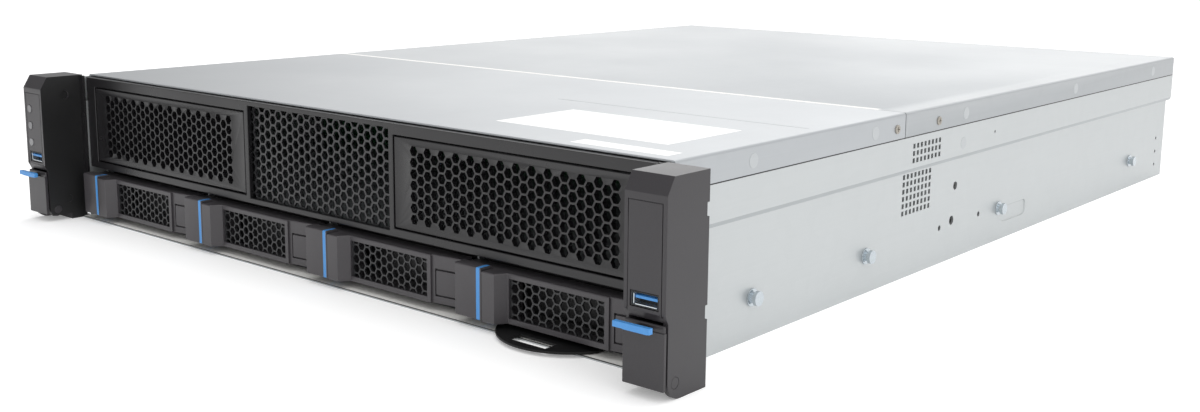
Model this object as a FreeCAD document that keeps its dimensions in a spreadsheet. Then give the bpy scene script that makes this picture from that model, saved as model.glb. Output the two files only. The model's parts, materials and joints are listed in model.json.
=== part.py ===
import FreeCAD, Part
import math
import os
import re
import Sketcher

# Rackmount video recorder, two rack units high: steel chassis, four drive carriers in front,
# grille panels above them, and plastic ears that latch it to the rack.
# +Y points to the back, +Z up, and the origin is the centre of the chassis underside.

doc = FreeCAD.newDocument("VideoRecorder")

sizes = {
    # chassis sheet metal
    "chassis_depth": 605.5,
    "chassis_height": 86.5,
    "wall_sheet": 1.2,
    "joggle_drop": 30.5,
    "joggle_step": 1.0,
    "fit_gap": 0.3,
    "pan_lip": 5.0,
    # covers
    "cover_sheet": 1.0,
    "cover_lap": 12.7,
    "cover_gap": 0.5,
    "cover_setback": 4.5,
    "cover_seam": 195.5,
    "cover_overhang": 8.0,
    "cover_round": 1.4,
    "rear_lip": 6.0,
    "seam_gap": 0.5,
    # rail studs
    "stud_height": 19.0,
    "stud_neck_radius": 2.4,
    "stud_head_radius": 3.3,
    "stud_head": 1.6,
    "stud_reach": 4.0,
    # side vents
    "vent_width": 2.3,
    "vent_height": 2.5,
    "vent_pitch": 4.1,
    "vent_rise": 3.75,
    "vent_start": 197.2,
    "vent_low": 33.0,
    "upper_vent_start": 204.8,
    "upper_vent_rise": 3.6,
    # drive bay
    "drive_width": 101.6,
    "drive_height": 26.1,
    "drive_length": 147.0,
    "drive_low": 4.2,
    "drive_lid": 3.0,
    "rail_sheet": 1.2,
    "rail_low": 6.0,
    "rail_height": 20.0,
    "bay_clearance": 0.85,
    "bay_margin": 6.6,
    "divider_sheet": 1.0,
    "runner_width": 1.8,
    "shelf_gap": 0.7,
    "cage_start": 9.0,
    "backplane_sheet": 1.6,
    "backplane_height": 50.0,
    "connector_width": 34.0,
    "connector_length": 16.0,
    # carrier fronts
    "carrier_low": 4.9,
    "carrier_height": 22.7,
    "carrier_back": 7.5,
    "carrier_end_gap": 2.5,
    "face_reach": 2.7,
    "face_wall": 1.2,
    "grip_reach": 8.0,
    "grip_width": 7.7,
    "grip_slope": 3.4,
    "end_width": 17.0,
    "end_step": 1.0,
    "end_slope": 2.0,
    "window_margin": 2.4,
    "window_inset": 0.4,
    "mesh_sheet": 1.0,
    "mesh_lap": 1.2,
    # carrier release latches
    "latch_inset": 1.0,
    "latch_width": 17.6,
    "latch_rise": 0.3,
    "latch_height": 23.6,
    "latch_bevel": 1.4,
    "latch_seat": 0.5,
    "latch_travel": 2.5,
    "stem_width": 4.0,
    "stem_height": 8.0,
    # upper bezel and its panels
    "bezel_setback": 0.5,
    "bezel_depth": 4.5,
    "bezel_bar": 3.2,
    "bezel_foot": 4.3,
    "bezel_head": 5.6,
    "bezel_flange": 1.6,
    "bezel_lip": 1.5,
    "rim_depth": 1.4,
    "center_width": 111.0,
    "filler_width": 149.0,
    "filler_sheet": 2.5,
    "hex_flat": 10.2,
    "hex_pitch": 12.2,
    "center_flat": 9.8,
    "center_pitch": 11.8,
    "mesh_flat": 7.0,
    "mesh_pitch": 8.8,
    # ears
    "ear_gap": 0.7,
    "ear_width": 20.3,
    "ear_depth": 26.5,
    "ear_bevel_depth": 4.2,
    "ear_bevel_drop": 7.0,
    "ear_corner": 8.0,
    "ear_wall": 2.4,
    "ear_inner_wall": 1.6,
    "ear_recess": 31.0,
    "scoop_rise": 3.6,
    "heel_rise": 3.4,
    "recess_depth": 15.0,
    "recess_step": 1.8,
    "notch_rise": 5.6,
    "notch_depth": 1.4,
    "upper_notch": 68.1,
    "lower_notch": 27.5,
    "bracket_leg": 22.0,
    # rack latches
    "pin_radius": 2.4,
    "pin_clearance": 0.05,
    "pin_setback": 6.6,
    "pin_height": 6.8,
    "release_low": 4.6,
    "release_high": 27.4,
    "release_depth": 12.0,
    "release_proud": 0.5,
    "release_inset": 0.2,
    "lever_foot": 1.8,
    "tab_sheet": 2.4,
    "tab_reach": 6.8,
    "tab_rise": 0.6,
    "tab_root_sheet": 1.2,
    "tab_bar": 2.2,
    "tab_neck": 4.0,
    "tab_root": 5.0,
    # front controls
    "button_radius": 2.2,
    "button_clearance": 0.2,
    "button_flange": 3.2,
    "button_length": 4.0,
    "button_proud": 0.3,
    "button_inset": 6.0,
    "power_height": 67.0,
    "button_drop": 10.0,
    "usb_width": 13.2,
    "usb_height": 5.7,
    "usb_length": 16.0,
    "usb_shell": 0.4,
    "usb_low": 35.6,
    "usb_inset": 3.4,
    # pull-out information tab
    "card_width": 58.0,
    "card_reach": 17.5,
    "card_sheet": 1.2,
    "card_length": 75.0,
    "card_slot_width": 21.0,
    "card_slot": 7.6,
    # cooling fans
    "fan_row": 200.0,
    "fan_depth": 38.0,
    "fan_headroom": 4.3,
    "fan_pitch": 130.0,
    "fan_wall": 1.8,
    "fan_hub_radius": 17.0,
    "fan_tip_gap": 0.8,
    "blade_chord": 28.0,
    "blade_angle": 40.0,
    "fan_base": 6.0,
    "fan_strut": 4.0,
    # main board and what stands on it
    "standoff": 5.0,
    "standoff_width": 8.0,
    "board_sheet": 1.6,
    "board_start": 262.0,
    "board_margin": 6.0,
    "heatsink_width": 78.0,
    "heatsink_length": 92.0,
    "heatsink_height": 62.0,
    "heatsink_base": 5.0,
    "module_height": 31.0,
    "module_length": 133.0,
    "module_sheet": 4.0,
    "module_pitch": 9.5,
    # rear panel
    "slot_pitch": 20.32,
    "slot_width": 13.0,
    "slot_height": 66.0,
    "slot_low": 10.0,
    "slot_cover_width": 18.0,
    "slot_cover_lap": 5.0,
    "slot_margin": 16.0,
    "port_gap": 1.0,
    "port_spacing": 4.0,
    "port_depth": 21.0,
    "port_wall": 0.8,
    "jack_width": 16.0,
    "jack_height": 13.6,
    # power supplies
    "psu_width": 73.5,
    "psu_height": 40.0,
    "psu_length": 190.0,
    "psu_gap": 1.0,
    "psu_flange": 1.5,
    "handle_reach": 26.0,
    "handle_bar": 3.0,
    "handle_width": 32.0,
    "handle_height": 10.0,
    "handle_inset": 18.0,
    "inlet_width": 27.0,
    "inlet_height": 20.0,
    "inlet_depth": 15.0,
    "inlet_inset": 49.0,
    "psu_latch_sheet": 3.0,
    "psu_latch_height": 12.0,
    "psu_latch_travel": 2.5,
    "psu_latch_length": 30.0,
    "psu_latch_reach": 14.0,
}

sheet = doc.addObject("Spreadsheet::Sheet", "Dims")
for row, (alias, size) in enumerate(sizes.items(), start=1):
    sheet.set("A%d" % row, alias)
    sheet.set("B%d" % row, str(size))
    sheet.setAlias("B%d" % row, alias)
doc.recompute()

words = re.compile(r"[a-z][a-z_]+")
planes = {"xy": ("XY_Plane", 1), "yz": ("YZ_Plane", 1), "xz": ("XZ_Plane", -1)}
turns = {
    "x": FreeCAD.Rotation(FreeCAD.Vector(0, 1, 0), 90),
    "y": FreeCAD.Rotation(FreeCAD.Vector(1, 0, 0), -90),
    "z": FreeCAD.Rotation(),
}
nodes = []


# An expression in size names, with each name pointed at its cell
def linked(text):
    return words.sub(lambda found: "Dims." + found.group(0), str(text))


def number(text):
    return float(sheet.evalExpression(linked(text)))


# The stretch from near to far on the right side, or its mirror image on the left
def across(side, near, far):
    if side > 0:
        return near, far
    return "-(%s)" % far, "-(%s)" % near


def node(made, label):
    made.Label = label
    nodes.append(made)
    return made


def box(name, x, y, z):
    made = doc.addObject("Part::Box", name)
    for prop, axis, (low, high) in zip(("Length", "Width", "Height"), "xyz", (x, y, z)):
        made.setExpression(prop, linked("(%s) - (%s)" % (high, low)))
        made.setExpression("Placement.Base." + axis, linked(low))
    return made


# A round bar from its start point along the axis named
def rod(name, axis, radius, start, length):
    made = doc.addObject("Part::Cylinder", name)
    made.Placement = FreeCAD.Placement(FreeCAD.Vector(), turns[axis])
    made.setExpression("Radius", linked(radius))
    made.setExpression("Height", linked(length))
    for letter, place in zip("xyz", start):
        made.setExpression("Placement.Base." + letter, linked(place))
    return made


def fuse(name, shapes):
    made = doc.addObject("Part::MultiFuse", name)
    made.Shapes = shapes
    made.Refine = True
    return made


def cut(name, base, tools):
    made = doc.addObject("Part::Cut", name)
    made.Base = base
    made.Tool = tools[0] if len(tools) == 1 else fuse(name + "_tools", tools)
    made.Refine = True
    return made


def common(name, base, tool):
    made = doc.addObject("Part::Common", name)
    made.Base = base
    made.Tool = tool
    return made


# Several separate solids kept together as one node
def group(name, shapes):
    made = doc.addObject("Part::Compound", name)
    made.Links = shapes
    return made


def origin_part(body, role):
    return next(part for part in body.Origin.OriginFeatures if part.Role == role)


# A closed sketch whose corners are tied to the sheet, on a plane at the level given
def outline(body, name, plane, level, corners):
    role, way = planes[plane]
    sketch = body.newObject("Sketcher::SketchObject", name)
    sketch.AttachmentSupport = (origin_part(body, role), [""])
    sketch.MapMode = "FlatFace"
    sketch.setExpression("AttachmentOffset.Base.z", linked("%d * (%s)" % (way, level)))
    spots = [FreeCAD.Vector(number(flat), number(up), 0) for flat, up in corners]
    for here, there in zip(spots, spots[1:] + spots[:1]):
        sketch.addGeometry(Part.LineSegment(here, there))
    for index, corner in enumerate(corners):
        following = (index + 1) % len(corners)
        sketch.addConstraint(Sketcher.Constraint("Coincident", index, 2, following, 1))
        for kind, text in zip(("DistanceX", "DistanceY"), corner):
            row = sketch.addConstraint(Sketcher.Constraint(kind, -1, 1, index, 1, number(text)))
            sketch.setExpression("Constraints[%d]" % row, linked(text))
    return sketch


# A body padded from an outline, from the low level to the high one
def pad(name, plane, low, high, corners):
    body = doc.addObject("PartDesign::Body", name)
    made_from = outline(body, name + "_outline", plane, low, corners)
    made = body.newObject("PartDesign::Pad", name + "_pad")
    made.Profile = made_from
    made.Reversed = planes[plane][1] < 0
    made.setExpression("Length", linked("(%s) - (%s)" % (high, low)))
    return body


# A field of like holes right through a body, in columns and rows
def perforate(body, name, plane, level, corners, columns, column_step, rows, row_step):
    hole = outline(body, name + "_hole", plane, level, corners)
    pocket = body.newObject("PartDesign::Pocket", name + "_pocket")
    pocket.Profile = hole
    pocket.Type = "ThroughAll"
    pocket.Midplane = True
    doc.recompute()
    field = body.newObject("PartDesign::LinearPattern", name + "_field")
    field.Originals = [pocket]
    field.Direction = (hole, ["H_Axis"])
    field.Occurrences = columns
    field.setExpression("Length", linked("%d * (%s)" % (columns - 1, column_step)))
    field.Direction2 = (hole, ["V_Axis"])
    field.Occurrences2 = rows
    field.setExpression("Length2", linked("%d * (%s)" % (rows - 1, row_step)))
    field.Refine = False
    body.Tip = field
    doc.recompute()


def rectangle(x, z):
    return [(x[0], z[0]), (x[1], z[0]), (x[1], z[1]), (x[0], z[1])]


# A hexagon with flat top and bottom
def hexagon(x, z, flat):
    corner = "(%s) / 3 ^ 0.5" % flat
    rise = "(%s) / 2" % flat
    return [
        ("%s + %s" % (x, corner), z),
        ("%s + %s / 2" % (x, corner), "%s + %s" % (z, rise)),
        ("%s - %s / 2" % (x, corner), "%s + %s" % (z, rise)),
        ("%s - %s" % (x, corner), z),
        ("%s - %s / 2" % (x, corner), "%s - %s" % (z, rise)),
        ("%s + %s / 2" % (x, corner), "%s - %s" % (z, rise)),
    ]


# Honeycomb of two interleaved fields: the second has one column and one row less
def honeycomb(body, name, level, x, z, flat, pitch, columns, rows):
    column_step = "(%s) * 3 ^ 0.5" % pitch
    first_x = "%s - %s * %s / 2" % (x, columns - 1, column_step)
    first_z = "%s - %s * (%s) / 2" % (z, rows - 1, pitch)
    perforate(body, name + "_outer", "xz", level, hexagon(first_x, first_z, flat),
              columns, column_step, rows, pitch)
    inner_x = "%s + %s / 2" % (first_x, column_step)
    inner_z = "%s + (%s) / 2" % (first_z, pitch)
    perforate(body, name + "_inner", "xz", level, hexagon(inner_x, inner_z, flat),
              columns - 1, column_step, rows - 1, pitch)


# Rounds the edges of a body's last feature whose middles pass the test
def round_edges(body, radius, test):
    doc.recompute()
    base = body.Tip
    names = []
    for index, edge in enumerate(base.Shape.Edges, start=1):
        if test(edge.valueAt((edge.FirstParameter + edge.LastParameter) / 2)):
            names.append("Edge%d" % index)
    made = body.newObject("PartDesign::Fillet", body.Name + "_round")
    made.Base = (base, names)
    made.setExpression("Radius", linked(radius))


# Places that many pieces share
front = "(-chassis_depth / 2)"
rear = "(chassis_depth / 2)"
bay_pitch = "(drive_width + 2 * rail_sheet + 2 * bay_clearance + divider_sheet)"
half = "(2 * %s + bay_margin)" % bay_pitch
strip = "(%s + joggle_step)" % half
inner_wall = "(%s - wall_sheet)" % half
upper_wall = "(%s - cover_sheet - fit_gap)" % strip
upper_inside = "(%s - wall_sheet - fit_gap)" % upper_wall
lid = "(chassis_height - cover_sheet)"
flange_low = "(chassis_height - cover_lap)"
strip_top = "(%s - cover_gap)" % flange_low
seam = "(%s + cover_seam)" % front
cover_end = "(%s + cover_overhang)" % rear
ear_in = "(%s + ear_gap)" % half
ear_out = "(%s + ear_width)" % ear_in
ear_front = "(%s - ear_depth)" % front
shelf_low = "(drive_low + drive_height + shelf_gap)"
shelf_high = "(%s + divider_sheet)" % shelf_low
cage_end = "(%s + carrier_back + rail_sheet + drive_length + connector_length + fit_gap)" % front
psu_left = "(-%s + psu_gap)" % inner_wall
psu_right = "(%s + 2 * psu_width + psu_gap)" % psu_left
board_left = "(%s + board_margin)" % psu_right
board_right = "(%s - board_margin)" % inner_wall
board_start_y = "(%s + board_start)" % front
board_end_y = "(%s - board_margin)" % rear
board_low = "(wall_sheet + standoff)"
board_high = "(%s + board_sheet)" % board_low
bracket_face = "(%s - wall_sheet)" % inner_wall

stud_places = [62.6, 162.0, 316.5, 534.7]
for index, place in enumerate(stud_places, start=1):
    alias = "stud_place_" + "abcd"[index - 1]
    row = len(sizes) + index
    sheet.set("A%d" % row, alias)
    sheet.set("B%d" % row, str(place))
    sheet.setAlias("B%d" % row, alias)
doc.recompute()
stud_rows = ["(%s + stud_place_%s)" % (front, letter) for letter in "abcd"]


def make_base_pan():
    floor = box("pan_floor", ("-" + inner_wall, inner_wall), ("%s - pan_lip" % front, rear), ("0", "wall_sheet"))
    posts = []
    for column, x in enumerate((board_left, board_right + " - standoff_width")):
        for row, y in enumerate((board_start_y, "(%s + %s - standoff_width) / 2" % (board_start_y, board_end_y),
                                 board_end_y + " - standoff_width")):
            posts.append(box("pan_post_%d_%d" % (column, row), (x, x + " + standoff_width"),
                             (y, y + " + standoff_width"), ("wall_sheet", board_low)))
    node(fuse("pan", [floor] + posts), "base_pan")


# Side sheet: plain below, stepped out above the joggle, and stepped in again under the cover
def make_side_wall(side, label):
    def out(place):
        return "%d * %s" % (side, place)

    step_low = "chassis_height - joggle_drop - joggle_step"
    step_high = "chassis_height - joggle_drop + joggle_step"
    corners = [
        (out(half), "0"),
        (out(half), step_low),
        (out(strip), step_high),
        (out(strip), strip_top),
        (out(upper_wall), strip_top),
        (out(upper_wall), lid),
        (out("(%s - wall_sheet)" % upper_wall), lid),
        (out("(%s - wall_sheet)" % upper_wall), strip_top + " - wall_sheet"),
        (out("(%s - wall_sheet)" % strip), strip_top + " - wall_sheet"),
        (out("(%s - wall_sheet)" % strip), step_high),
        (out(inner_wall), step_low),
        (out(inner_wall), "0"),
    ]
    wall = pad(label + "_sheet", "xz", front, cover_end, corners)
    doc.recompute()
    fields = [("lower", "vent_start", "vent_low", 6), ("upper", "upper_vent_start", step_high + " + upper_vent_rise - joggle_step", 3)]
    for name, start, low, rows in fields if side > 0 else []:
        first = "%s + %s" % (front, start)
        hole = rectangle((first, first + " + vent_width"), (low, low + " + vent_height"))
        perforate(wall, label + "_" + name, "yz", out(half), hole, 8, "vent_pitch", rows, "vent_rise")
    near, far = across(side, "%s - 2 * wall_sheet" % half, "%s + 2 * wall_sheet" % half)
    heel = box(label + "_heel", (near, far), (rear, cover_end + " + 1"), ("-1", step_low))
    node(cut(label + "_cut", wall, [heel]), label)


# Inverted tray with bent-down flanges along both sides
def make_cover(label, start, end, lip):
    inside = "(%s - cover_sheet)" % strip
    corners = [
        ("-" + strip, flange_low),
        ("-" + strip, "chassis_height"),
        (strip, "chassis_height"),
        (strip, flange_low),
        (inside, flange_low),
        (inside, lid),
        ("-" + inside, lid),
        ("-" + inside, flange_low),
    ]
    tray = pad(label + "_sheet", "xz", start, end, corners)
    top = number("chassis_height")
    edge = number(strip)
    round_edges(tray, "cover_round", lambda spot: abs(abs(spot.x) - edge) < 0.01 and spot.z > top - 0.01)
    if lip:
        hem = box(label + "_lip", ("-" + upper_inside, upper_inside), (end + " - cover_sheet", end),
                  (lid + " - rear_lip", lid))
        node(fuse(label + "_hemmed", [tray, hem]), label)
    else:
        node(tray, label)


# Headed studs for the slide rails, each turned in one piece and riveted to the wall
def make_rail_studs():
    corners = [
        ("0", "0"),
        ("stud_reach", "0"),
        ("stud_reach", "stud_head_radius"),
        ("stud_reach - stud_head", "stud_head_radius"),
        ("stud_reach - stud_head", "stud_neck_radius"),
        ("0", "stud_neck_radius"),
    ]
    studs = []
    for side, way in (("left", -1), ("right", 1)):
        for index, y in enumerate(stud_rows):
            body = doc.addObject("PartDesign::Body", "stud_%s_%d" % (side, index))
            profile = outline(body, body.Name + "_profile", "xy", "0", corners)
            turned = body.newObject("PartDesign::Revolution", body.Name + "_turned")
            turned.Profile = profile
            turned.ReferenceAxis = (profile, ["H_Axis"])
            turned.Angle = 360
            spin = FreeCAD.Rotation(FreeCAD.Vector(0, 0, 1), 0 if way > 0 else 180)
            body.Placement = FreeCAD.Placement(FreeCAD.Vector(), spin)
            body.setExpression("Placement.Base.x", linked("%d * %s" % (way, half)))
            body.setExpression("Placement.Base.y", linked(y))
            body.setExpression("Placement.Base.z", linked("stud_height"))
            studs.append(body)
    node(group("studs", studs), "rail_studs")


# Rear panel with the power supply bay, the port window and the expansion slots cut out
def make_rear_panel():
    wide = "(%s - wall_sheet)" % upper_wall
    through = ("%s - 3 * wall_sheet" % rear, "%s + wall_sheet" % rear)
    panel = box("rear_sheet", ("-" + wide, wide), ("%s - wall_sheet" % rear, rear), ("wall_sheet", lid))
    bay = box("rear_psu_bay", ("%s - fit_gap" % psu_left, "%s + fit_gap" % psu_right), through,
              ("0", "wall_sheet + psu_height + 3 * fit_gap"))
    ports = box("rear_port_window", (port_left(0) + " - port_gap", port_left(3) + " + jack_width + port_gap"),
                through, (board_high + " - fit_gap", board_high + " + jack_height + port_gap"))
    tools = [bay, ports]
    for index in range(5):
        x = slot_left(index)
        tools.append(box("rear_slot_%d" % index, (x, x + " + slot_width"), through,
                         ("slot_low", "slot_low + slot_height")))
    node(cut("rear_panel_cut", panel, tools), "rear_panel")


def port_left(index):
    return "(%s + 2 * board_margin + %d * (jack_width + port_spacing))" % (board_left, index)


def slot_left(index):
    return "%s - slot_margin - %d * slot_pitch" % (inner_wall, index + 1)


def make_slot_covers():
    covers = []
    for index in range(5):
        x = "%s - (slot_cover_width - slot_width) / 2" % slot_left(index)
        covers.append(box("slot_cover_%d" % index, (x, x + " + slot_cover_width"),
                          ("%s - 2 * wall_sheet" % rear, "%s - wall_sheet" % rear),
                          ("slot_low - slot_cover_lap", "slot_low + slot_height + slot_cover_lap")))
    node(group("slot_cover_set", covers), "slot_covers")


# Drive cage: upright dividers on runners, under one shelf
def make_drive_cage():
    y = ("%s + cage_start" % front, cage_end)
    wide = "(%s - ear_gap)" % bracket_face
    parts = [box("cage_shelf", ("-" + wide, wide), ("%s + bezel_setback + bezel_depth" % front, cage_end),
                 (shelf_low, shelf_high))]
    for index in range(-2, 3):
        x = "%d * %s" % (index, bay_pitch)
        name = "abcde"[index + 2]
        sheet_x = (x + " - divider_sheet / 2", x + " + divider_sheet / 2")
        parts.append(box("cage_divider_" + name, sheet_x, y, ("wall_sheet", shelf_high)))
        runner_x = (sheet_x[0] + " - runner_width", sheet_x[1] + " + runner_width")
        parts.append(box("cage_runner_" + name, runner_x, y, ("wall_sheet", "rail_low - fit_gap")))
    node(fuse("cage", parts), "drive_cage")


def make_backplane():
    y = (cage_end + " + fit_gap", cage_end + " + fit_gap + backplane_sheet")
    wide = "(2 * %s)" % bay_pitch
    board = box("backplane_board", ("-" + wide, wide), y, ("wall_sheet", "wall_sheet + backplane_height"))
    parts = [board]
    for index in range(4):
        middle = "(%d - 1.5) * %s" % (index, bay_pitch)
        x = (middle + " - connector_width / 2", middle + " + connector_width / 2")
        z = ("drive_low + drive_lid", "drive_low + 3 * drive_lid")
        parts.append(box("backplane_connector_%d" % index, x, (y[0] + " - connector_length", y[0]), z))
    node(fuse("backplane_set", parts), "backplane")


# Bezel frame above the carriers, with one open window and two rebated ones
bezel_front = "(%s + bezel_setback)" % front
bezel_back = "(%s + bezel_depth)" % bezel_front
bezel_side = "(%s - ear_gap / 2)" % bracket_face
bezel_top = "(%s - fit_gap)" % lid
panel_low = "(%s + bezel_foot)" % shelf_low
panel_high = "(%s - bezel_head)" % bezel_top
center_half = "(center_width / 2)"
filler_near = "(%s + bezel_bar + fit_gap)" % center_half
filler_far = "(%s + filler_width)" % filler_near


def make_front_bezel():
    through = (bezel_front + " - 1", bezel_back + " + 1")
    plate = box("bezel_plate", ("-" + bezel_side, bezel_side), (bezel_front, bezel_back),
                (shelf_low, bezel_top))
    flange = box("bezel_flange", ("-" + bezel_side, bezel_side), (bezel_front, bezel_back + " + bezel_depth"),
                 (bezel_top + " - bezel_flange", bezel_top))
    center = box("bezel_center", ("-" + center_half, center_half), through,
                 (panel_low + " - bezel_lip", bezel_top + " - 1.5 * bezel_flange"))
    lap = "(%s + bezel_lip)" % center_half
    seat = box("bezel_center_seat", ("-" + lap, lap), (bezel_back + " - mesh_sheet - rim_depth / 2", through[1]),
               (panel_low + " - 2 * bezel_lip", bezel_top + " - bezel_flange"))
    tools = [center, seat]
    for side, name in ((-1, "left"), (1, "right")):
        wide = across(side, filler_near + " - fit_gap", filler_far + " + fit_gap")
        tools.append(box("bezel_rebate_" + name, wide, (through[0], bezel_back + " - rim_depth"),
                         (panel_low + " - fit_gap", panel_high + " + fit_gap")))
        narrow = across(side, filler_near + " + bezel_lip", filler_far + " - bezel_lip")
        tools.append(box("bezel_opening_" + name, narrow, through,
                         (panel_low + " + bezel_lip", panel_high + " - bezel_lip")))
    node(cut("bezel_cut", fuse("bezel_stock", [plate, flange]), tools), "front_bezel")


# Perforated sheet behind the middle window
def make_center_grille():
    wide = "(%s + bezel_lip - fit_gap / 2)" % center_half
    z = (panel_low + " - 2 * bezel_lip + fit_gap / 2", bezel_top + " - bezel_flange - fit_gap / 2")
    y = bezel_back + " - mesh_sheet - rim_depth / 2"
    body = pad("center_sheet", "xz", y, y + " + mesh_sheet", rectangle(("-" + wide, wide), z))
    doc.recompute()
    middle = "((%s) + (%s)) / 2" % z
    honeycomb(body, "center", y, "0", middle, "center_flat", "center_pitch", 5, 4)
    node(body, "center_grille")


def make_filler(side, label):
    y = "(%s - rim_depth - fit_gap - filler_sheet)" % bezel_back
    body = pad(label + "_sheet", "xz", y, y + " + filler_sheet",
               rectangle(across(side, filler_near, filler_far), (panel_low, panel_high)))
    doc.recompute()
    middle_x = "%d * (%s + filler_width / 2)" % (side, filler_near)
    middle_z = "(%s + %s) / 2" % (panel_low, panel_high)
    honeycomb(body, label, y, middle_x, middle_z, "hex_flat", "hex_pitch", 7, 3)
    node(body, label)


# Steel angle inside each side wall: its flange backs the ear, its tabs show in the ear's notches
def make_ear_brackets():
    brackets = []
    face = ("%s - wall_sheet - fit_gap / 2" % front, "%s - fit_gap / 2" % front)
    for side, name in ((-1, "left"), (1, "right")):
        flange = box("bracket_flange_" + name, across(side, bracket_face, "%s - ear_wall - fit_gap" % ear_out),
                     face, ("2 * wall_sheet", lid + " - wall_sheet"))
        leg = box("bracket_leg_" + name, across(side, bracket_face, inner_wall),
                  (face[0], "%s + bracket_leg" % front), ("2 * wall_sheet", strip_top + " - 2 * wall_sheet"))
        parts = [flange, leg]
        for place in ("upper_notch", "lower_notch"):
            wide = across(side, "%s - 2 * ear_wall" % ear_out, "%s - fit_gap" % ear_out)
            parts.append(box("bracket_%s_%s" % (place, name), wide, face,
                             (place + " + fit_gap", place + " + notch_rise - fit_gap")))
        brackets.append(fuse("bracket_" + name, parts))
    node(group("bracket_set", brackets), "ear_brackets")


usb_height_middle = "(usb_low + usb_height / 2)"
button_x = "-(%s - button_inset)" % ear_out


def button_height(index):
    return "power_height - %d * button_drop" % index


# Hollow plastic ear: bevelled top, round lower corner, latch recess below, wiring space above
def make_ear_housing(side, label, with_buttons):
    low, high = across(side, ear_in, ear_out)
    step_height = "release_high + tab_sheet + 2 * fit_gap"
    step_face = "%s + recess_step" % ear_front
    corners = [
        (front, "0"),
        (front, "chassis_height"),
        ("%s + ear_bevel_depth" % ear_front, "chassis_height"),
        (ear_front, "chassis_height - ear_bevel_drop"),
        (ear_front, step_height + " + scoop_rise"),
        (step_face, step_height),
        (step_face, "0"),
    ]
    block = pad(label + "_block", "yz", low, high, corners)
    nose = number(step_face)
    round_edges(block, "ear_corner", lambda spot: abs(spot.y - nose) < 0.01 and spot.z < 0.01)
    inside = across(side, "%s + ear_inner_wall" % ear_in, "%s - ear_wall" % ear_out)
    recess = box(label + "_recess", inside, (ear_front + " - 1", "%s + recess_depth" % ear_front),
                 ("-1", "ear_recess"))
    space = box(label + "_space", inside, ("%s + ear_wall" % ear_front, front + " + 1"),
                ("usb_low - 2 * fit_gap", "chassis_height - ear_bevel_drop"))
    back = box(label + "_back", across(side, ear_in + " - 1", "%s - ear_wall" % ear_out),
               ("%s - wall_sheet - fit_gap" % front, front + " + 1"), ("wall_sheet", lid))
    bore = rod(label + "_bore", "x", "pin_radius", (low, "%s + pin_setback" % ear_front, "pin_height"), "ear_width")
    heel = box(label + "_heel", across(side, ear_in + " - 1", "%s - ear_wall" % ear_out),
               (ear_front + " - 1", "%s + recess_depth" % ear_front), ("-1", "heel_rise"))
    tools = [recess, space, back, bore, heel]
    for place in ("upper_notch", "lower_notch"):
        tools.append(box("%s_%s" % (label, place), across(side, "%s - 2 * ear_wall" % ear_out, ear_out + " + 1"),
                         ("%s - notch_depth" % front, front + " + 1"), (place, place + " + notch_rise")))
    port_x = usb_span(side, "fit_gap")
    port_z = ("usb_low - fit_gap", "usb_low + usb_height + fit_gap")
    tools.append(box(label + "_usb", port_x, (ear_front + " - 1", "%s + 2 * ear_wall" % ear_front), port_z))
    if with_buttons:
        for index in range(3):
            spot = (button_x, ear_front + " - 1", button_height(index))
            tools.append(rod("%s_button_%d" % (label, index), "y", "button_radius + button_clearance",
                             spot, "2 * ear_wall"))
    node(cut(label + "_cut", block, tools), label)


# The port's stretch across the ear, widened by a margin on each side
def usb_span(side, margin):
    near = "%s + usb_inset - (%s)" % (ear_in, margin)
    far = "%s + usb_inset + usb_width + (%s)" % (ear_in, margin)
    return across(side, near, far)


def make_usb_ports():
    ports = []
    for side, name in ((-1, "left"), (1, "right")):
        y = ("%s + button_proud" % ear_front, "%s + usb_length" % ear_front)
        shell = box("usb_shell_" + name, usb_span(side, "0"), y, ("usb_low", "usb_low + usb_height"))
        mouth = box("usb_mouth_" + name, usb_span(side, "-usb_shell"), (y[0] + " - 1", y[1] + " - 2"),
                    ("usb_low + usb_shell", "usb_low + usb_height - usb_shell"))
        ports.append(cut("usb_" + name, shell, [mouth]))
    node(group("usb_set", ports), "usb_ports")


def make_latch_pins():
    pins = []
    for side, name in ((-1, "left"), (1, "right")):
        low, high = across(side, ear_in, ear_out)
        spot = (low, "%s + pin_setback" % ear_front, "pin_height")
        pins.append(rod("latch_pin_" + name, "x", "pin_radius", spot, "ear_width"))
    node(group("latch_pin_set", pins), "latch_pins")


cap_back = "(%s + recess_step - 2 * fit_gap)" % ear_front


# The ear's whole width for what sits in front of it, and the width between its two walls
def latch_widths(side):
    whole = across(side, ear_in + " + release_inset", ear_out + " - release_inset")
    inner = across(side, "%s + ear_inner_wall + fit_gap" % ear_in, "%s - ear_wall - fit_gap" % ear_out)
    return whole, inner


# Rack release latch: a front cap that covers the recess, and a lever on the pin
def make_rack_latch(side, label):
    whole, inner = latch_widths(side)
    z = ("release_low", "release_high")
    cap = box(label + "_cap", whole, (ear_front + " - release_proud", cap_back), z)
    lever = box(label + "_lever", inner, (ear_front, "%s + release_depth" % ear_front), ("pin_height", z[1]))
    spot = (inner[0], "%s + pin_setback" % ear_front, "pin_height")
    length = "(%s) - (%s)" % (inner[1], inner[0])
    eye = rod(label + "_eye", "x", "pin_radius + lever_foot", spot, length)
    bore = rod(label + "_bore", "x", "pin_radius + pin_clearance", spot, length)
    node(cut(label + "_cut", fuse(label + "_stock", [cap, lever, eye]), [bore]), label)


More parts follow.
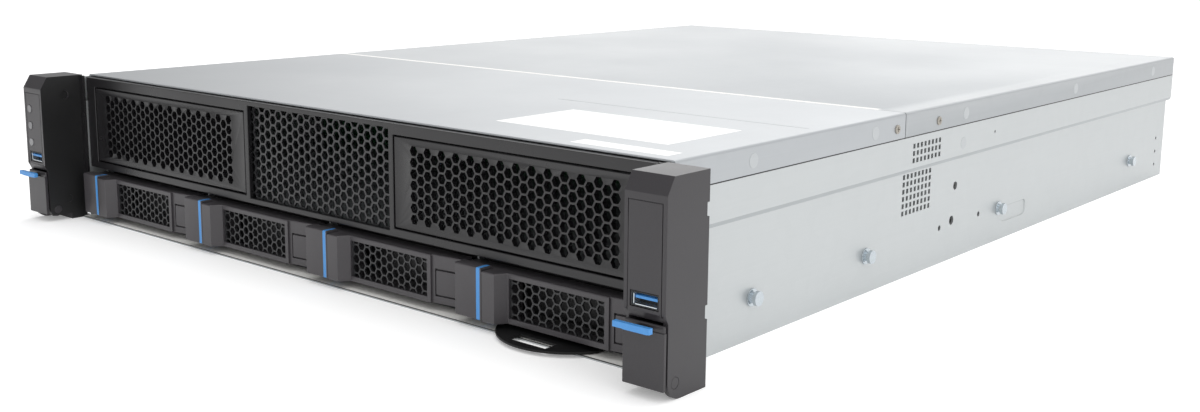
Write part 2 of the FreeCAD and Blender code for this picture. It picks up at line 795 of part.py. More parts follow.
# Coloured finger tab on top of the latch: a bar across the front on a narrower neck
def make_latch_tab(side, label):
    whole, inner = latch_widths(side)
    top = "release_high + tab_root_sheet"
    tip = "%s - tab_reach" % ear_front
    low = "release_high + tab_rise"
    bar = box(label + "_bar", whole, (tip, tip + " + tab_bar"), (low, low + " + tab_sheet"))
    narrow = ("%s + tab_neck" % whole[0], "%s - tab_neck" % whole[1])
    neck = box(label + "_neck", narrow, (tip + " + tab_bar / 2", cap_back), ("release_high", top))
    root = box(label + "_root", inner, (ear_front, "%s + tab_root" % ear_front), ("release_high", top))
    node(fuse(label + "_set", [bar, neck, root]), label)


# Push button or light pipe: a round cap on a square base behind the ear's front wall
def make_button(label, index):
    z = button_height(index)
    base_y = "(%s + ear_wall + fit_gap)" % ear_front
    cap = rod(label + "_cap", "y", "button_radius", (button_x, ear_front + " - button_proud", z),
              "button_proud + ear_wall + fit_gap")
    base = box(label + "_base", (button_x + " - button_flange", button_x + " + button_flange"),
               (base_y, base_y + " + button_length"), (z + " - button_flange", z + " + button_flange"))
    node(fuse(label + "_set", [cap, base]), label)


# Carrier places, measured from the left edge of its bay
face_y = "(%s - face_reach)" % front
grip_y = "(%s - grip_reach)" % front
seat_y = "(%s - latch_seat)" % front
back_y = "(%s + carrier_back)" % front
carrier_high = "(carrier_low + carrier_height)"


def bay_left(index):
    return "(%d * %s)" % (index - 3, bay_pitch)


def grip_left(index):
    return "(%s + latch_inset + latch_width + fit_gap)" % bay_left(index)


def face_left(index):
    return "(%s + grip_width + grip_slope)" % grip_left(index)


def face_right(index):
    return "(%s + %s - carrier_end_gap - end_width)" % (bay_left(index), bay_pitch)


def stem_left(index):
    return "(%s + latch_inset + latch_width / 2)" % bay_left(index)


stem_low = "(carrier_low + (carrier_height - stem_height) / 2)"


# Moulded carrier front: fixed grip, framed window, and an end face that leans back
def make_carrier_front(index):
    label = "carrier_front_%d" % index
    end = "%s + end_width" % face_right(index)
    left = "%s + latch_inset" % bay_left(index)
    corners = [
        (grip_left(index), grip_y),
        ("%s + grip_width" % grip_left(index), grip_y),
        (face_left(index), face_y),
        (face_right(index), face_y),
        (face_right(index), face_y + " + end_step"),
        (end, face_y + " + end_step + end_slope"),
        (end, back_y),
        (left, back_y),
        (left, seat_y),
        (grip_left(index), seat_y),
    ]
    block = pad(label + "_block", "xy", "carrier_low", carrier_high, corners)
    x = ("%s + window_inset" % face_left(index), "%s - window_margin" % face_right(index))
    z = ("carrier_low + window_margin", carrier_high + " - window_margin")
    window = box(label + "_window", x, (face_y + " - 1", back_y + " + 1"), z)
    lap_x = (x[0] + " - mesh_lap", x[1] + " + mesh_lap")
    lap_z = (z[0] + " - mesh_lap", z[1] + " + mesh_lap")
    rebate = box(label + "_rebate", lap_x, (face_y + " + face_wall", back_y + " + 1"), lap_z)
    slot_x = ("%s - latch_travel - fit_gap" % stem_left(index), "%s + stem_width + fit_gap" % stem_left(index))
    slot = box(label + "_slot", slot_x, (seat_y + " - 1", back_y + " + 1"),
               (stem_low + " - fit_gap", stem_low + " + stem_height + fit_gap"))
    node(cut(label + "_cut", block, [window, rebate, slot]), label)


def make_carrier_mesh(index):
    label = "carrier_mesh_%d" % index
    margin = "window_margin - mesh_lap + fit_gap / 2"
    near = "%s + window_inset - mesh_lap + fit_gap / 2" % face_left(index)
    x = (near, "%s - (%s)" % (face_right(index), margin))
    z = ("carrier_low + " + margin, "%s - (%s)" % (carrier_high, margin))
    y = face_y + " + face_wall"
    body = pad(label + "_sheet", "xz", y, y + " + mesh_sheet", rectangle(x, z))
    doc.recompute()
    middle_x = "((%s) + (%s)) / 2" % x
    middle_z = "((%s) + (%s)) / 2" % z
    honeycomb(body, label, y, middle_x, middle_z, "mesh_flat", "mesh_pitch", 4, 2)
    node(body, label)


# Sideways release latch with its stem through the carrier front
def make_carrier_latch(index):
    label = "carrier_latch_%d" % index
    low = "%s + latch_inset" % bay_left(index)
    high = low + " + latch_width"
    behind = seat_y + " - fit_gap"
    corners = [
        (low, grip_y + " + latch_bevel"),
        (low + " + latch_bevel", grip_y),
        (high, grip_y),
        (high, behind),
        (low, behind),
    ]
    z = ("carrier_low + latch_rise", "carrier_low + latch_rise + latch_height")
    panel = pad(label + "_panel", "xy", z[0], z[1], corners)
    stem = box(label + "_stem", (stem_left(index), "%s + stem_width" % stem_left(index)),
               (grip_y + " + latch_bevel", back_y), (stem_low, stem_low + " + stem_height"))
    node(fuse(label + "_set", [panel, stem]), label)


def tray_left(index):
    return "(%s + divider_sheet / 2 + bay_clearance)" % bay_left(index)


# Tray: two side rails joined by an open cross wall behind the carrier front
def make_carrier_frame(index):
    label = "carrier_frame_%d" % index
    left = tray_left(index)
    right = "(%s + drive_width + 2 * rail_sheet)" % left
    tail = "(%s + rail_sheet + drive_length)" % back_y
    corners = [
        (left, back_y),
        (right, back_y),
        (right, tail),
        (right + " - rail_sheet", tail),
        (right + " - rail_sheet", back_y + " + rail_sheet"),
        (left + " + rail_sheet", back_y + " + rail_sheet"),
        (left + " + rail_sheet", tail),
        (left, tail),
    ]
    tray = pad(label + "_tray", "xy", "rail_low", "rail_low + rail_height", corners)
    wide = ("%s + latch_inset" % bay_left(index), right + " - 2 * window_margin")
    opening = box(label + "_opening", wide, (back_y + " - 1", back_y + " + 2 * rail_sheet"),
                  ("rail_low + window_margin", "rail_low + rail_height - window_margin"))
    node(cut(label + "_cut", tray, [opening]), label)


def make_drive(index):
    label = "drive_%d" % index
    left = "(%s + rail_sheet)" % tray_left(index)
    right = "(%s + drive_width)" % left
    y = (back_y + " + rail_sheet + drive_lid", back_y + " + rail_sheet + drive_length")
    top = "drive_low + drive_height"
    base = box(label + "_base", (left, right), y, ("drive_low", top + " - drive_lid"))
    cover = box(label + "_cover", (left + " + drive_lid", right + " - drive_lid"),
                (y[0] + " + drive_lid", y[1] + " - 2 * drive_lid"), (top + " - drive_lid", top))
    node(fuse(label + "_set", [base, cover]), label)


# Flat tab that slides out under the fourth carrier, with a round front edge and a finger slot
def make_info_tab():
    middle = "(1.5 * %s - drive_lid)" % bay_pitch
    z = ("wall_sheet + fit_gap", "wall_sheet + fit_gap + card_sheet")
    radius = "((card_width ^ 2 / 4 + card_reach ^ 2) / (2 * card_reach))"
    x = (middle + " - card_width / 2", middle + " + card_width / 2")
    disc = rod("tab_disc", "z", radius, (middle, "%s - card_reach + %s" % (front, radius), z[0]), "card_sheet")
    nose_stock = box("tab_nose_stock", x, ("%s - card_reach - 1" % front, front), z)
    nose = common("tab_nose", disc, nose_stock)
    plate = box("tab_plate", x, (front, "%s + card_length" % front), z)
    slot_y = "(%s - card_reach / 2)" % front
    slot = box("tab_slot", (middle + " - card_slot_width / 2", middle + " + card_slot_width / 2"),
               (slot_y + " - card_slot / 2", slot_y + " + card_slot / 2"), (z[0] + " - 1", z[1] + " + 1"))
    node(cut("tab_cut", fuse("tab_stock", [nose, plate]), [slot]), "info_tab")


fan_size = "(%s - wall_sheet - fan_headroom)" % lid
fan_middle = "(wall_sheet + %s / 2)" % fan_size
fan_bore = "(%s / 2 - fan_wall)" % fan_size
fan_start = "(%s + fan_row)" % front


# Fan frames: square housing, round bore, and crossed struts that carry the motor
def make_fan_frames():
    frames = []
    for index in range(3):
        name = "fan_frame_%d" % index
        x = "(%d * fan_pitch)" % (index - 1)
        y = (fan_start, fan_start + " + fan_depth")
        wide = (x + " - %s / 2" % fan_size, x + " + %s / 2" % fan_size)
        block = box(name + "_block", wide, y, ("wall_sheet", "wall_sheet + " + fan_size))
        bore = rod(name + "_bore", "y", fan_bore, (x, fan_start + " - 1", fan_middle), "fan_depth + 2")
        shell = cut(name + "_shell", block, [bore])
        base_y = (y[1] + " - fan_base", y[1])
        level = box(name + "_level", wide, base_y, (fan_middle + " - fan_strut / 2", fan_middle + " + fan_strut / 2"))
        upright = box(name + "_upright", (x + " - fan_strut / 2", x + " + fan_strut / 2"), base_y,
                      ("wall_sheet", "wall_sheet + " + fan_size))
        frames.append(fuse(name, [shell, level, upright]))
    node(group("fan_frame_set", frames), "fan_frames")


# Hub with pitched blades that flare towards the tip
def make_fan_rotor(index):
    hub_radius = number("fan_hub_radius")
    tip_radius = number(fan_bore) - number("fan_tip_gap")
    depth = number("fan_depth - fan_base - 3 * fan_tip_gap")
    lean = math.radians(number("blade_angle"))
    along = FreeCAD.Vector(0, math.sin(lean), math.cos(lean))
    aside = FreeCAD.Vector(0, math.cos(lean), -math.sin(lean)) * number("fan_wall")
    chord = number("blade_chord")
    reach = math.sqrt(tip_radius ** 2 - (chord * math.cos(lean)) ** 2)
    middle = FreeCAD.Vector(0, depth / 2, 0) - aside / 2
    corners = []
    for radius, half_chord in ((hub_radius * 0.8, chord * 0.3), (reach, chord * 0.5)):
        for way in (-1, 1) if not corners else (1, -1):
            corners.append(middle + FreeCAD.Vector(radius, 0, 0) + along * (half_chord * way))
    blade = Part.Face(Part.makePolygon(corners + corners[:1])).extrude(aside)
    hub = Part.makeCylinder(hub_radius, depth, FreeCAD.Vector(0, 0, 0), FreeCAD.Vector(0, 1, 0))
    count = 5
    blades = []
    for turn in range(count):
        copy = blade.copy()
        copy.rotate(FreeCAD.Vector(0, 0, 0), FreeCAD.Vector(0, 1, 0), 360 * turn / count)
        blades.append(copy)
    label = "fan_rotor_%d" % index
    made = doc.addObject("Part::Feature", label + "_shape")
    made.Shape = hub.multiFuse(blades).removeSplitter()
    place = ("(%d * fan_pitch)" % (index - 2), fan_start + " + 2 * fan_tip_gap", fan_middle)
    made.Placement.Base = FreeCAD.Vector(*[number(text) for text in place])
    node(made, label)


def make_system_board():
    node(box("board", (board_left, board_right), (board_start_y, board_end_y), (board_low, board_high)),
         "system_board")


# Finned heatsink over the processor, the fins in line with the air flow
def make_heatsink():
    left = "(%s + 4 * board_margin)" % board_left
    top = "%s + heatsink_height" % board_high
    floor = "%s + heatsink_base" % board_high
    fins = 9
    pitch = "heatsink_width / %d" % (2 * fins - 1)
    corners = [(left, board_high), ("%s + heatsink_width" % left, board_high)]
    for fin in reversed(range(fins)):
        high = "%s + %d * %s" % (left, 2 * fin + 1, pitch)
        low = "%s + %d * %s" % (left, 2 * fin, pitch)
        corners += [(high, top), (low, top)]
        if fin:
            corners[-2:] = [(high, top), (low, top), (low, floor),
                            ("%s + %d * %s" % (left, 2 * fin - 1, pitch), floor)]
    y = "%s + board_start + 8 * board_margin" % front
    node(pad("heatsink_body", "xz", y, y + " + heatsink_length", corners), "cpu_heatsink")


def make_memory_modules():
    modules = []
    for index in range(8):
        x = "(%s + 6 * board_margin + heatsink_width + %d * module_pitch)" % (board_left, index)
        y = "%s + board_start + 5 * board_margin" % front
        modules.append(box("module_%d" % index, (x, x + " + module_sheet"), (y, y + " + module_length"),
                           (board_high, "%s + module_height" % board_high)))
    node(group("module_set", modules), "memory_modules")


def make_rear_ports():
    ports = []
    for index in range(4):
        x = port_left(index)
        wide = (x, x + " + jack_width")
        y = ("%s - board_margin - port_depth" % rear, "%s + port_gap" % rear)
        z = (board_high, "%s + jack_height" % board_high)
        shell = box("port_shell_%d" % index, wide, y, z)
        mouth = box("port_mouth_%d" % index, (x + " + port_wall", x + " + jack_width - port_wall"),
                    ("%s - port_depth / 2" % rear, y[1] + " + 1"), (z[0] + " + port_wall", z[1] + " - port_wall"))
        ports.append(cut("port_%d" % index, shell, [mouth]))
    node(group("port_set", ports), "rear_ports")


psu_low = "(wall_sheet + fit_gap)"
psu_latch_low = "(%s + (psu_height - psu_latch_height) / 2)" % psu_low


def psu_start(index):
    return "(%s + %d * (psu_width + psu_gap))" % (psu_left, index - 1)


# Hot-swap power supply: case, loop handle, mains inlet recess and a groove for the release latch
def make_psu(index):
    label = "power_supply_%d" % index
    left = psu_start(index)
    right = "(%s + psu_width)" % left
    back = "(%s + psu_flange)" % rear
    middle = "(%s + psu_height / 2)" % psu_low
    case = box(label + "_case", (left, right), ("%s - psu_length" % rear, back), (psu_low, psu_low + " + psu_height"))
    grip = ("%s + handle_inset - handle_width / 2" % left, "%s + handle_inset + handle_width / 2" % left)
    z = (middle + " - handle_height / 2", middle + " + handle_height / 2")
    bar = box(label + "_bar", grip, (back + " + handle_reach - handle_bar", back + " + handle_reach"), z)
    arms = []
    for name, x in (("left", (grip[0], grip[0] + " + handle_bar")), ("right", (grip[1] + " - handle_bar", grip[1]))):
        arms.append(box(label + "_arm_" + name, x, (back, back + " + handle_reach"), z))
    inlet = box(label + "_inlet", ("%s + inlet_inset - inlet_width / 2" % left,
                                   "%s + inlet_inset + inlet_width / 2" % left),
                (back + " - inlet_depth", back + " + 1"),
                (middle + " - inlet_height / 2", middle + " + inlet_height / 2"))
    groove = box(label + "_groove", (right + " - psu_latch_sheet - psu_latch_travel - 3 * fit_gap", right + " + 1"),
                 ("%s - psu_latch_length - fit_gap" % rear, back + " + 1"),
                 (psu_latch_low + " - fit_gap", psu_latch_low + " + psu_latch_height + fit_gap"))
    node(cut(label + "_cut", fuse(label + "_stock", [case, bar] + arms), [inlet, groove]), label)


def make_psu_latch(index):
    label = "supply_latch_%d" % index
    right = "(%s + psu_width - fit_gap)" % psu_start(index)
    y = ("%s - psu_latch_length" % rear, "%s + psu_flange + psu_latch_reach" % rear)
    node(box(label + "_lever", (right + " - psu_latch_sheet", right), y,
             (psu_latch_low, psu_latch_low + " + psu_latch_height")), label)


make_base_pan()
make_side_wall(-1, "side_wall_left")
make_side_wall(1, "side_wall_right")
make_rear_panel()
make_slot_covers()
make_cover("front_cover", "%s + cover_setback" % front, "%s - seam_gap / 2" % seam, False)
make_cover("rear_cover", "%s + seam_gap / 2" % seam, cover_end, True)
make_rail_studs()
make_drive_cage()
make_backplane()
make_front_bezel()
make_center_grille()
make_filler(-1, "left_filler_panel")
make_filler(1, "right_filler_panel")
make_ear_brackets()
make_ear_housing(-1, "ear_housing_left", True)
make_ear_housing(1, "ear_housing_right", False)
make_usb_ports()
make_latch_pins()
make_rack_latch(-1, "rack_latch_left")
make_rack_latch(1, "rack_latch_right")
make_latch_tab(-1, "latch_tab_left")
make_latch_tab(1, "latch_tab_right")
make_button("power_button", 0)
make_button("locator_button", 1)
make_button("status_light", 2)
for bay in range(1, 5):
    make_carrier_front(bay)
    make_carrier_mesh(bay)
    make_carrier_latch(bay)
    make_carrier_frame(bay)
    make_drive(bay)
make_info_tab()
make_fan_frames()
for fan in range(1, 4):
    make_fan_rotor(fan)
make_system_board()
make_heatsink()
make_memory_modules()
make_rear_ports()
for supply in range(1, 3):
    make_psu(supply)
    make_psu_latch(supply)

doc.recompute()
for made in doc.Objects:
    if "Invalid" in made.State or "Error" in made.State:
        raise RuntimeError("%s failed: %s" % (made.Name, made.State))
os.makedirs("parts", exist_ok=True)
for made in nodes:
    if made.Shape.isNull() or not made.Shape.isValid():
        raise RuntimeError("%s has no valid shape" % made.Label)
    made.Shape.exportStep("parts/%s.step" % made.Label)
print("%d nodes written" % len(nodes))
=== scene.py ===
import bpy
import json
import math
from mathutils import Matrix, Vector


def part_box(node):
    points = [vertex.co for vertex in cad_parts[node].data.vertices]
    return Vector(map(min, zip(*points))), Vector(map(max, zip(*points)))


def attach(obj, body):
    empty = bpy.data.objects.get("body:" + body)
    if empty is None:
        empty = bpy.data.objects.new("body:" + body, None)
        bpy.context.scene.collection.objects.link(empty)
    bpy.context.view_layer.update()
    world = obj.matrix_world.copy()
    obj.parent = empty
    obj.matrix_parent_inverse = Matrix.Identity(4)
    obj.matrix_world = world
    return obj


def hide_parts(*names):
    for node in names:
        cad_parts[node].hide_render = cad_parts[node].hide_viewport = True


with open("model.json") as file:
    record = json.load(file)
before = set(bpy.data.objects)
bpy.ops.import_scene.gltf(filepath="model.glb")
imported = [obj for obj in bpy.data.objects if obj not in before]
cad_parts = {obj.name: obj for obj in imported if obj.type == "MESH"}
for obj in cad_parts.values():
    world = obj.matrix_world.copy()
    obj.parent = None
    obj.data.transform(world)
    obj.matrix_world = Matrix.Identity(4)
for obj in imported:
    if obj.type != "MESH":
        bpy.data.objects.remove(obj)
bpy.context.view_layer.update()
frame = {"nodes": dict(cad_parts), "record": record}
mm = 0.001
bodyOf = {node: body for body, nodes in frame["record"]["behaviour"]["bodies"].items() for node in nodes}
print("frame loaded,", len(frame["nodes"]), "nodes")


# Working helpers, all sizes in millimetres
def deselectAll():
    if bpy.context.object and bpy.context.object.mode != "OBJECT":
        bpy.ops.object.mode_set(mode="OBJECT")
    bpy.ops.object.select_all(action="DESELECT")


def pick(piece):
    deselectAll()
    piece.select_set(True)
    bpy.context.view_layer.objects.active = piece


def settle(piece):  # place and size go into the mesh
    pick(piece)
    bpy.ops.object.transform_apply(location=True, rotation=True, scale=True)


def addBlock(name, low, high):
    deselectAll()
    centre = [(a + b) / 2 * mm for a, b in zip(low, high)]
    bpy.ops.mesh.primitive_cube_add(size=1, location=centre)
    piece = bpy.context.object
    piece.name = name
    piece.scale = [(b - a) * mm for a, b in zip(low, high)]
    settle(piece)
    return piece


def addRound(name, centre, radius, length, sides=32):  # its axis lies along X
    deselectAll()
    bpy.ops.mesh.primitive_cylinder_add(vertices=sides, radius=radius * mm, depth=length * mm,
                                        location=[v * mm for v in centre], rotation=(0, math.pi / 2, 0))
    piece = bpy.context.object
    piece.name = name
    settle(piece)
    return piece


def softenEdges(piece, width, segments=2, angle=30):
    pick(piece)
    bevel = piece.modifiers.new("softEdges", "BEVEL")
    bevel.width = width * mm
    bevel.segments = segments
    bevel.limit_method = "ANGLE"
    bevel.angle_limit = math.radians(angle)
    bpy.ops.object.modifier_apply(modifier=bevel.name)
    smoothFaces(piece)


# Bevels only the edges whose two ends pass the test
def bevelEdges(piece, chosen, width, segments):
    pick(piece)
    bpy.ops.object.mode_set(mode="EDIT")
    bpy.ops.mesh.select_mode(type="EDGE")
    bpy.ops.mesh.select_all(action="DESELECT")
    bpy.ops.object.mode_set(mode="OBJECT")
    for edge in piece.data.edges:
        edge.select = chosen(*[piece.data.vertices[index].co / mm for index in edge.vertices])
    bpy.ops.object.mode_set(mode="EDIT")
    bpy.ops.mesh.bevel(offset=width * mm, segments=segments)
    bpy.ops.mesh.select_mode(type="VERT")
    bpy.ops.object.mode_set(mode="OBJECT")


def bisect(piece, place, normal):
    pick(piece)
    bpy.ops.object.mode_set(mode="EDIT")
    bpy.ops.mesh.select_all(action="SELECT")
    bpy.ops.mesh.bisect(plane_co=[v * mm for v in place], plane_no=normal)
    bpy.ops.object.mode_set(mode="OBJECT")


# Large faces keep their own direction, so soft edges don't shade across them
def smoothFaces(piece, angle=35):
    pick(piece)
    bpy.ops.object.shade_smooth_by_angle(angle=math.radians(angle))
    weigh = piece.modifiers.new("weighFaces", "WEIGHTED_NORMAL")
    weigh.keep_sharp = True
    weigh.weight = 100
    bpy.ops.object.modifier_apply(modifier=weigh.name)


def cutAway(piece, cutter):
    pick(piece)
    trim = piece.modifiers.new("trim", "BOOLEAN")
    trim.operation = "DIFFERENCE"
    trim.solver = "MANIFOLD"
    trim.object = cutter
    bpy.ops.object.modifier_apply(modifier=trim.name)
    pick(cutter)
    bpy.ops.object.delete()


def joinPieces(name, parts):
    pick(parts[0])
    for part in parts[1:]:
        part.select_set(True)
    bpy.ops.object.join()
    parts[0].name = name
    return parts[0]


def repeat(piece, count, step):
    pick(piece)
    row = piece.modifiers.new("row", "ARRAY")
    row.count = count
    row.use_relative_offset = False
    row.use_constant_offset = True
    row.constant_offset_displace = [v * mm for v in step]
    bpy.ops.object.modifier_apply(modifier=row.name)


def mirrored(sign, near, far):
    return (near, far) if sign > 0 else (-far, -near)


meshCare = {"weld": 0.002, "flatAngle": 0.5}


# A clean copy of a solid, ready to be shaped further
def copySolid(nodeName, pieceName):
    pick(frame["nodes"][nodeName])
    bpy.ops.object.duplicate()
    piece = bpy.context.object
    piece.name = pieceName
    bpy.ops.mesh.customdata_custom_splitnormals_clear()
    bpy.ops.object.mode_set(mode="EDIT")
    bpy.ops.mesh.select_all(action="SELECT")
    bpy.ops.mesh.remove_doubles(threshold=meshCare["weld"] * mm)
    bpy.ops.mesh.dissolve_limited(angle_limit=math.radians(meshCare["flatAngle"]))
    bpy.ops.object.mode_set(mode="OBJECT")
    return piece


def flatFaces(piece):
    pick(piece)
    bpy.ops.object.shade_flat()


# The faces of a piece that pass the test take a further material
def paint(piece, material, chosen):
    piece.data.materials.append(material)
    for face in piece.data.polygons:
        if chosen(face):
            face.material_index = len(piece.data.materials) - 1


def standFor(piece, nodeName, material):
    dress(piece, material)
    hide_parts(nodeName)
    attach(piece, bodyOf[nodeName])


def fixTo(piece, body, material):
    dress(piece, material)
    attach(piece, body)


def dress(piece, material):
    if not piece.material_slots:
        piece.data.materials.append(material)
    for place in piece.material_slots:
        place.material = material


# Shared surface effects
def startGroup(name, inputs, outputs):
    group = bpy.data.node_groups.new(name, "ShaderNodeTree")
    for label, value in inputs:
        socket = group.interface.new_socket(label, in_out="INPUT", socket_type="NodeSocketFloat")
        socket.default_value = value
    for label, kind in outputs:
        group.interface.new_socket(label, in_out="OUTPUT", socket_type="NodeSocket" + kind)
    return group, group.nodes.new("NodeGroupInput"), group.nodes.new("NodeGroupOutput")


def wire(tree, start, startSocket, end, endSocket):
    tree.links.new(start.outputs[startSocket], end.inputs[endSocket])


def makeMouldGrain():  # the fine spark-eroded texture of moulded plastic
    group, enter, leave = startGroup(
        "mouldGrain", [("Scale", 1800), ("Depth", 0.00004), ("Low", 0.4), ("High", 0.55)],
        [("Grain", "Float"), ("Roughness", "Float"), ("Normal", "Vector")])
    place = group.nodes.new("ShaderNodeTexCoord")
    grain = group.nodes.new("ShaderNodeTexNoise")
    grain.inputs["Detail"].default_value = 2
    smudge = group.nodes.new("ShaderNodeTexNoise")
    smudge.inputs["Scale"].default_value = 22
    smudge.inputs["Detail"].default_value = 3
    spread = group.nodes.new("ShaderNodeMapRange")
    spread.inputs["From Min"].default_value = 0.3
    spread.inputs["From Max"].default_value = 0.7
    bump = group.nodes.new("ShaderNodeBump")
    bump.inputs["Strength"].default_value = 0.5
    wire(group, place, "Object", grain, "Vector")
    wire(group, place, "Object", smudge, "Vector")
    wire(group, enter, "Scale", grain, "Scale")
    wire(group, smudge, "Fac", spread, "Value")
    wire(group, enter, "Low", spread, "To Min")
    wire(group, enter, "High", spread, "To Max")
    wire(group, grain, "Fac", bump, "Height")
    wire(group, enter, "Depth", bump, "Distance")
    wire(group, grain, "Fac", leave, "Grain")
    wire(group, spread, "Result", leave, "Roughness")
    wire(group, bump, "Normal", leave, "Normal")
    return group


def makeRolledSheet():  # zinc spangle and faint rolling lines on sheet steel
    group, enter, leave = startGroup(
        "rolledSheet", [("Spangle", 0.5), ("Lines", 0.3), ("Low", 0.34), ("High", 0.46)],
        [("Tone", "Float"), ("Roughness", "Float"), ("Normal", "Vector")])
    place = group.nodes.new("ShaderNodeTexCoord")
    stretch = group.nodes.new("ShaderNodeMapping")
    stretch.inputs["Scale"].default_value = (900, 14, 900)
    lines = group.nodes.new("ShaderNodeTexNoise")
    lines.inputs["Scale"].default_value = 1
    lines.inputs["Detail"].default_value = 2
    crystals = group.nodes.new("ShaderNodeTexVoronoi")
    crystals.inputs["Scale"].default_value = 130
    cloud = group.nodes.new("ShaderNodeTexNoise")
    cloud.inputs["Scale"].default_value = 9
    cloud.inputs["Detail"].default_value = 4
    split = group.nodes.new("ShaderNodeSeparateColor")
    blend = group.nodes.new("ShaderNodeMix")
    more = group.nodes.new("ShaderNodeMix")
    rough = group.nodes.new("ShaderNodeMapRange")
    rough.inputs["From Min"].default_value = 0.3
    rough.inputs["From Max"].default_value = 0.7
    bump = group.nodes.new("ShaderNodeBump")
    bump.inputs["Strength"].default_value = 0.12
    bump.inputs["Distance"].default_value = 0.00003
    wire(group, place, "Object", stretch, "Vector")
    wire(group, stretch, "Vector", lines, "Vector")
    wire(group, place, "Object", crystals, "Vector")
    wire(group, place, "Object", cloud, "Vector")
    wire(group, crystals, "Color", split, "Color")
    wire(group, cloud, "Fac", blend, "A")
    wire(group, split, "Red", blend, "B")
    wire(group, enter, "Spangle", blend, "Factor")
    wire(group, enter, "Lines", more, "Factor")
    wire(group, blend, "Result", more, "A")
    wire(group, lines, "Fac", more, "B")
    wire(group, cloud, "Fac", rough, "Value")
    wire(group, enter, "Low", rough, "To Min")
    wire(group, enter, "High", rough, "To Max")
    wire(group, lines, "Fac", bump, "Height")
    wire(group, more, "Result", leave, "Tone")
    wire(group, rough, "Result", leave, "Roughness")
    wire(group, bump, "Normal", leave, "Normal")
    return group


def makePlateMask():  # 1 inside a rectangle of the top face
    group, enter, leave = startGroup("plateMask", [("Left", 0), ("Right", 1), ("Front", 0), ("Back", 1)],
                                     [("Mask", "Float")])
    place = group.nodes.new("ShaderNodeTexCoord")
    split = group.nodes.new("ShaderNodeSeparateXYZ")
    wire(group, place, "Object", split, "Vector")
    parts = []
    for axis, low, high in (("X", "Left", "Right"), ("Y", "Front", "Back")):
        above = group.nodes.new("ShaderNodeMath")
        above.operation = "GREATER_THAN"
        below = group.nodes.new("ShaderNodeMath")
        below.operation = "LESS_THAN"
        wire(group, split, axis, above, 0)
        wire(group, split, axis, below, 0)
        wire(group, enter, low, above, 1)
        wire(group, enter, high, below, 1)
        parts += [above, below]
    total = parts[0]
    for part in parts[1:]:
        both = group.nodes.new("ShaderNodeMath")
        both.operation = "MULTIPLY"
        wire(group, total, 0, both, 0)
        wire(group, part, 0, both, 1)
        total = both
    wire(group, total, 0, leave, "Mask")
    return group


mouldGrain = makeMouldGrain()
rolledSheet = makeRolledSheet()
plateMask = makePlateMask()


def rgb(red, green, blue):  # display values to scene colour
    def lin(value):
        value /= 255
        return value / 12.92 if value <= 0.04045 else ((value + 0.055) / 1.055) ** 2.4
    return lin(red), lin(green), lin(blue), 1


def addGroup(tree, group, **values):
    node = tree.nodes.new("ShaderNodeGroup")
    node.node_tree = group
    for label, value in values.items():
        node.inputs[label].default_value = value
    return node


def twoTones(tree, source, socket, dark, light, shader):
    mix = tree.nodes.new("ShaderNodeMix")
    mix.data_type = "RGBA"
    mix.inputs["A"].default_value = dark
    mix.inputs["B"].default_value = light
    tree.links.new(source.outputs[socket], mix.inputs["Factor"])
    tree.links.new(mix.outputs["Result"], shader.inputs["Base Color"])


def mouldedPlastic(name, dark, light, low, high, scale=1800, depth=0.00004, level=0.5):
    material = bpy.data.materials.new(name)
    material.use_nodes = True
    tree = material.node_tree
    shader = tree.nodes["Principled BSDF"]
    grain = addGroup(tree, mouldGrain, Scale=scale, Depth=depth, Low=low, High=high)
    twoTones(tree, grain, "Grain", rgb(*dark), rgb(*light), shader)
    wire(tree, grain, "Roughness", shader, "Roughness")
    wire(tree, grain, "Normal", shader, "Normal")
    shader.inputs["Specular IOR Level"].default_value = level
    return material


def platedMetal(name, dark, light, low, high, metallic=0.7, spangle=0.5, lines=0.3):
    material = bpy.data.materials.new(name)
    material.use_nodes = True
    tree = material.node_tree
    shader = tree.nodes["Principled BSDF"]
    sheet = addGroup(tree, rolledSheet, Spangle=spangle, Lines=lines, Low=low, High=high)
    twoTones(tree, sheet, "Tone", rgb(*dark), rgb(*light), shader)
    wire(tree, sheet, "Roughness", shader, "Roughness")
    wire(tree, sheet, "Normal", shader, "Normal")
    shader.inputs["Metallic"].default_value = metallic
    return material


# Bare white sticker areas on the front cover: left, right, front, back in millimetres
coverPlates = {
    "long": (93.6, 195, -269.2, -214.2), "short": (160, 212, -291.7, -281.7), "colour": (246, 246, 245),
}


def stickeredCover():
    metallic = 0.75
    material = platedMetal("coverSteelStickered", (172, 176, 179), (184, 187, 190), 0.30, 0.38,
                           metallic, 0.15)
    tree = material.node_tree
    shader = tree.nodes["Principled BSDF"]
    bare = shader.inputs["Base Color"].links[0].from_node
    masks = [addGroup(tree, plateMask, Left=a * mm, Right=b * mm, Front=c * mm, Back=d * mm)
             for a, b, c, d in (coverPlates["long"], coverPlates["short"])]
    either = tree.nodes.new("ShaderNodeMath")
    either.operation = "MAXIMUM"
    wire(tree, masks[0], "Mask", either, 0)
    wire(tree, masks[1], "Mask", either, 1)
    paper = tree.nodes.new("ShaderNodeMix")
    paper.data_type = "RGBA"
    paper.inputs["B"].default_value = rgb(*coverPlates["colour"])
    wire(tree, either, 0, paper, "Factor")
    tree.links.new(bare.outputs["Result"], paper.inputs["A"])
    tree.links.new(paper.outputs["Result"], shader.inputs["Base Color"])
    dull = tree.nodes.new("ShaderNodeMath")
    dull.operation = "MULTIPLY_ADD"
    dull.inputs[1].default_value = -metallic
    dull.inputs[2].default_value = metallic
    wire(tree, either, 0, dull, 0)
    wire(tree, dull, 0, shader, "Metallic")
    return material


